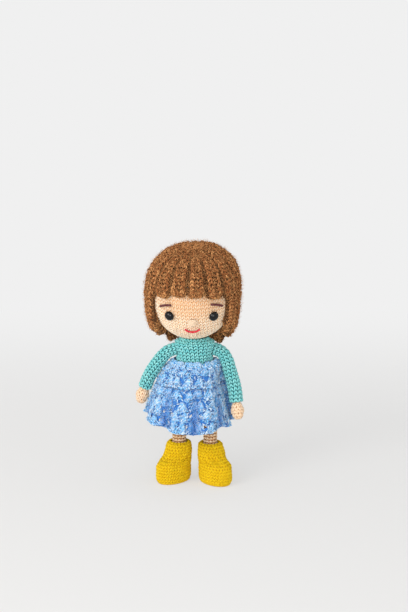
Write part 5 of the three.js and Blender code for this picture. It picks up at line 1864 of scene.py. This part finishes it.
def backdrop_material():
    # Pale paper. Behind the doll the camera sees its plain colour, with no shade from the lamps.
    material, tree, shader = new_material("pale_paper")
    shader.inputs["Base Color"].default_value = paint(*FLOOR_COLOUR)
    shader.inputs["Roughness"].default_value = FLOOR_ROUGHNESS
    shader.inputs["Specular IOR Level"].default_value = FLOOR_SPECULAR
    place = put(tree, "ShaderNodeSeparateXYZ", {0: put(tree, "ShaderNodeNewGeometry").outputs["Position"]})
    behind = put(tree, "ShaderNodeMapRange", {
        "Value": place.outputs["Y"], "From Min": BACKDROP_START * MM, "From Max": BACKDROP_FULL * MM},
        interpolation_type="SMOOTHSTEP")
    even = put(tree, "ShaderNodeMapRange", {"Value": behind.outputs[0], "To Min": FLOOR_EVEN_SHARE})
    share = math_of(tree, "MULTIPLY", even.outputs[0], seen_rays(tree))
    glow = put(tree, "ShaderNodeEmission", {"Color": paint(*BACKDROP_COLOUR), "Strength": 1.0})
    mixed = put(tree, "ShaderNodeMixShader", {0: share, 1: shader.outputs[0], 2: glow.outputs[0]})
    tree.links.new(mixed.outputs[0], tree.nodes["Material Output"].inputs["Surface"])
    return material


def studio():
    # A sweep of pale paper: a floor that curves up behind the doll
    profile = [(SWEEP_FRONT, 0), (SWEEP_BEND, 0)]
    for angle in np.linspace(0, math.pi / 2, SWEEP_STEPS + 1)[1:]:
        profile.append((SWEEP_BEND + SWEEP_BEND_RADIUS * math.sin(angle),
                        SWEEP_BEND_RADIUS * (1 - math.cos(angle))))
    profile.append((SWEEP_BEND + SWEEP_BEND_RADIUS, SWEEP_TOP))
    sides = (-SWEEP_HALF_WIDTH, SWEEP_HALF_WIDTH)
    points = [(x * MM, y * MM, z * MM) for y, z in profile for x in sides]
    faces = [(i * 2, i * 2 + 1, i * 2 + 3, i * 2 + 2) for i in range(len(profile) - 1)]
    mesh = bpy.data.meshes.new("paper_sweep")
    mesh.from_pydata(points, [], faces)
    mesh.polygons.foreach_set("use_smooth", [True] * len(faces))
    mesh.materials.append(backdrop_material())
    sweep = bpy.data.objects.new("paper_sweep", mesh)
    bpy.context.scene.collection.objects.link(sweep)


def lamp(name, place, aim, power, colour):
    light = bpy.data.lights.new(name, "AREA")
    light.shape = "DISK"
    light.size = LAMP_SIZE * MM
    light.energy = power
    light.color = colour
    stand = bpy.data.objects.new(name, light)
    stand.location = to_frame(place)
    stand.rotation_euler = (Vector(aim) - Vector(place)).to_track_quat("-Z", "Y").to_euler()
    bpy.context.scene.collection.objects.link(stand)


def lights():
    world = bpy.data.worlds.new("studio")
    bpy.context.scene.world = world
    world.use_nodes = True
    tree = world.node_tree
    ground = tree.nodes["Background"]
    ground.inputs["Color"].default_value = (1, 1, 1, 1)
    ground.inputs["Strength"].default_value = WORLD_STRENGTH
    # Past the edges of the paper its pale tone goes on
    beyond = put(tree, "ShaderNodeBackground", {"Color": paint(*BACKDROP_COLOUR), "Strength": 1.0})
    mixed = put(tree, "ShaderNodeMixShader", {
        0: seen_rays(tree), 1: ground.outputs[0], 2: beyond.outputs[0]})
    tree.links.new(mixed.outputs[0], tree.nodes["World Output"].inputs["Surface"])
    for values in LAMPS:
        lamp(*values)


def camera():
    view = bpy.data.cameras.new("camera")
    view.lens = CAMERA_LENS
    view.sensor_width = CAMERA_SENSOR
    view.clip_start = CAMERA_NEAR * MM
    view.clip_end = CAMERA_FAR * MM
    stand = bpy.data.objects.new("camera", view)
    stand.location = to_frame(CAMERA_PLACE)
    stand.rotation_euler = (math.radians(CAMERA_PITCH), 0, 0)
    bpy.context.scene.collection.objects.link(stand)
    bpy.context.scene.camera = stand
    bpy.context.scene.view_settings.view_transform = "Standard"


camera()
studio()
lights()
head()
face()
hair()
torso()
for side_name, side_sign in SIDES.items():
    shoulder_place = np.array([side_sign * SHOULDER_X, 0, SHOULDER_Z])
    sleeve(side_name, shoulder_place)
    hand(side_name, shoulder_place)
for side_name, side_sign in SIDES.items():
    leg(side_name, side_sign)
for side_name, side_sign in SIDES.items():
    boot(side_name, side_sign)
waistband()
skirt_tier("upper_tier", UPPER_TIER)
skirt_tier("lower_tier", LOWER_TIER)
hidden_fittings()
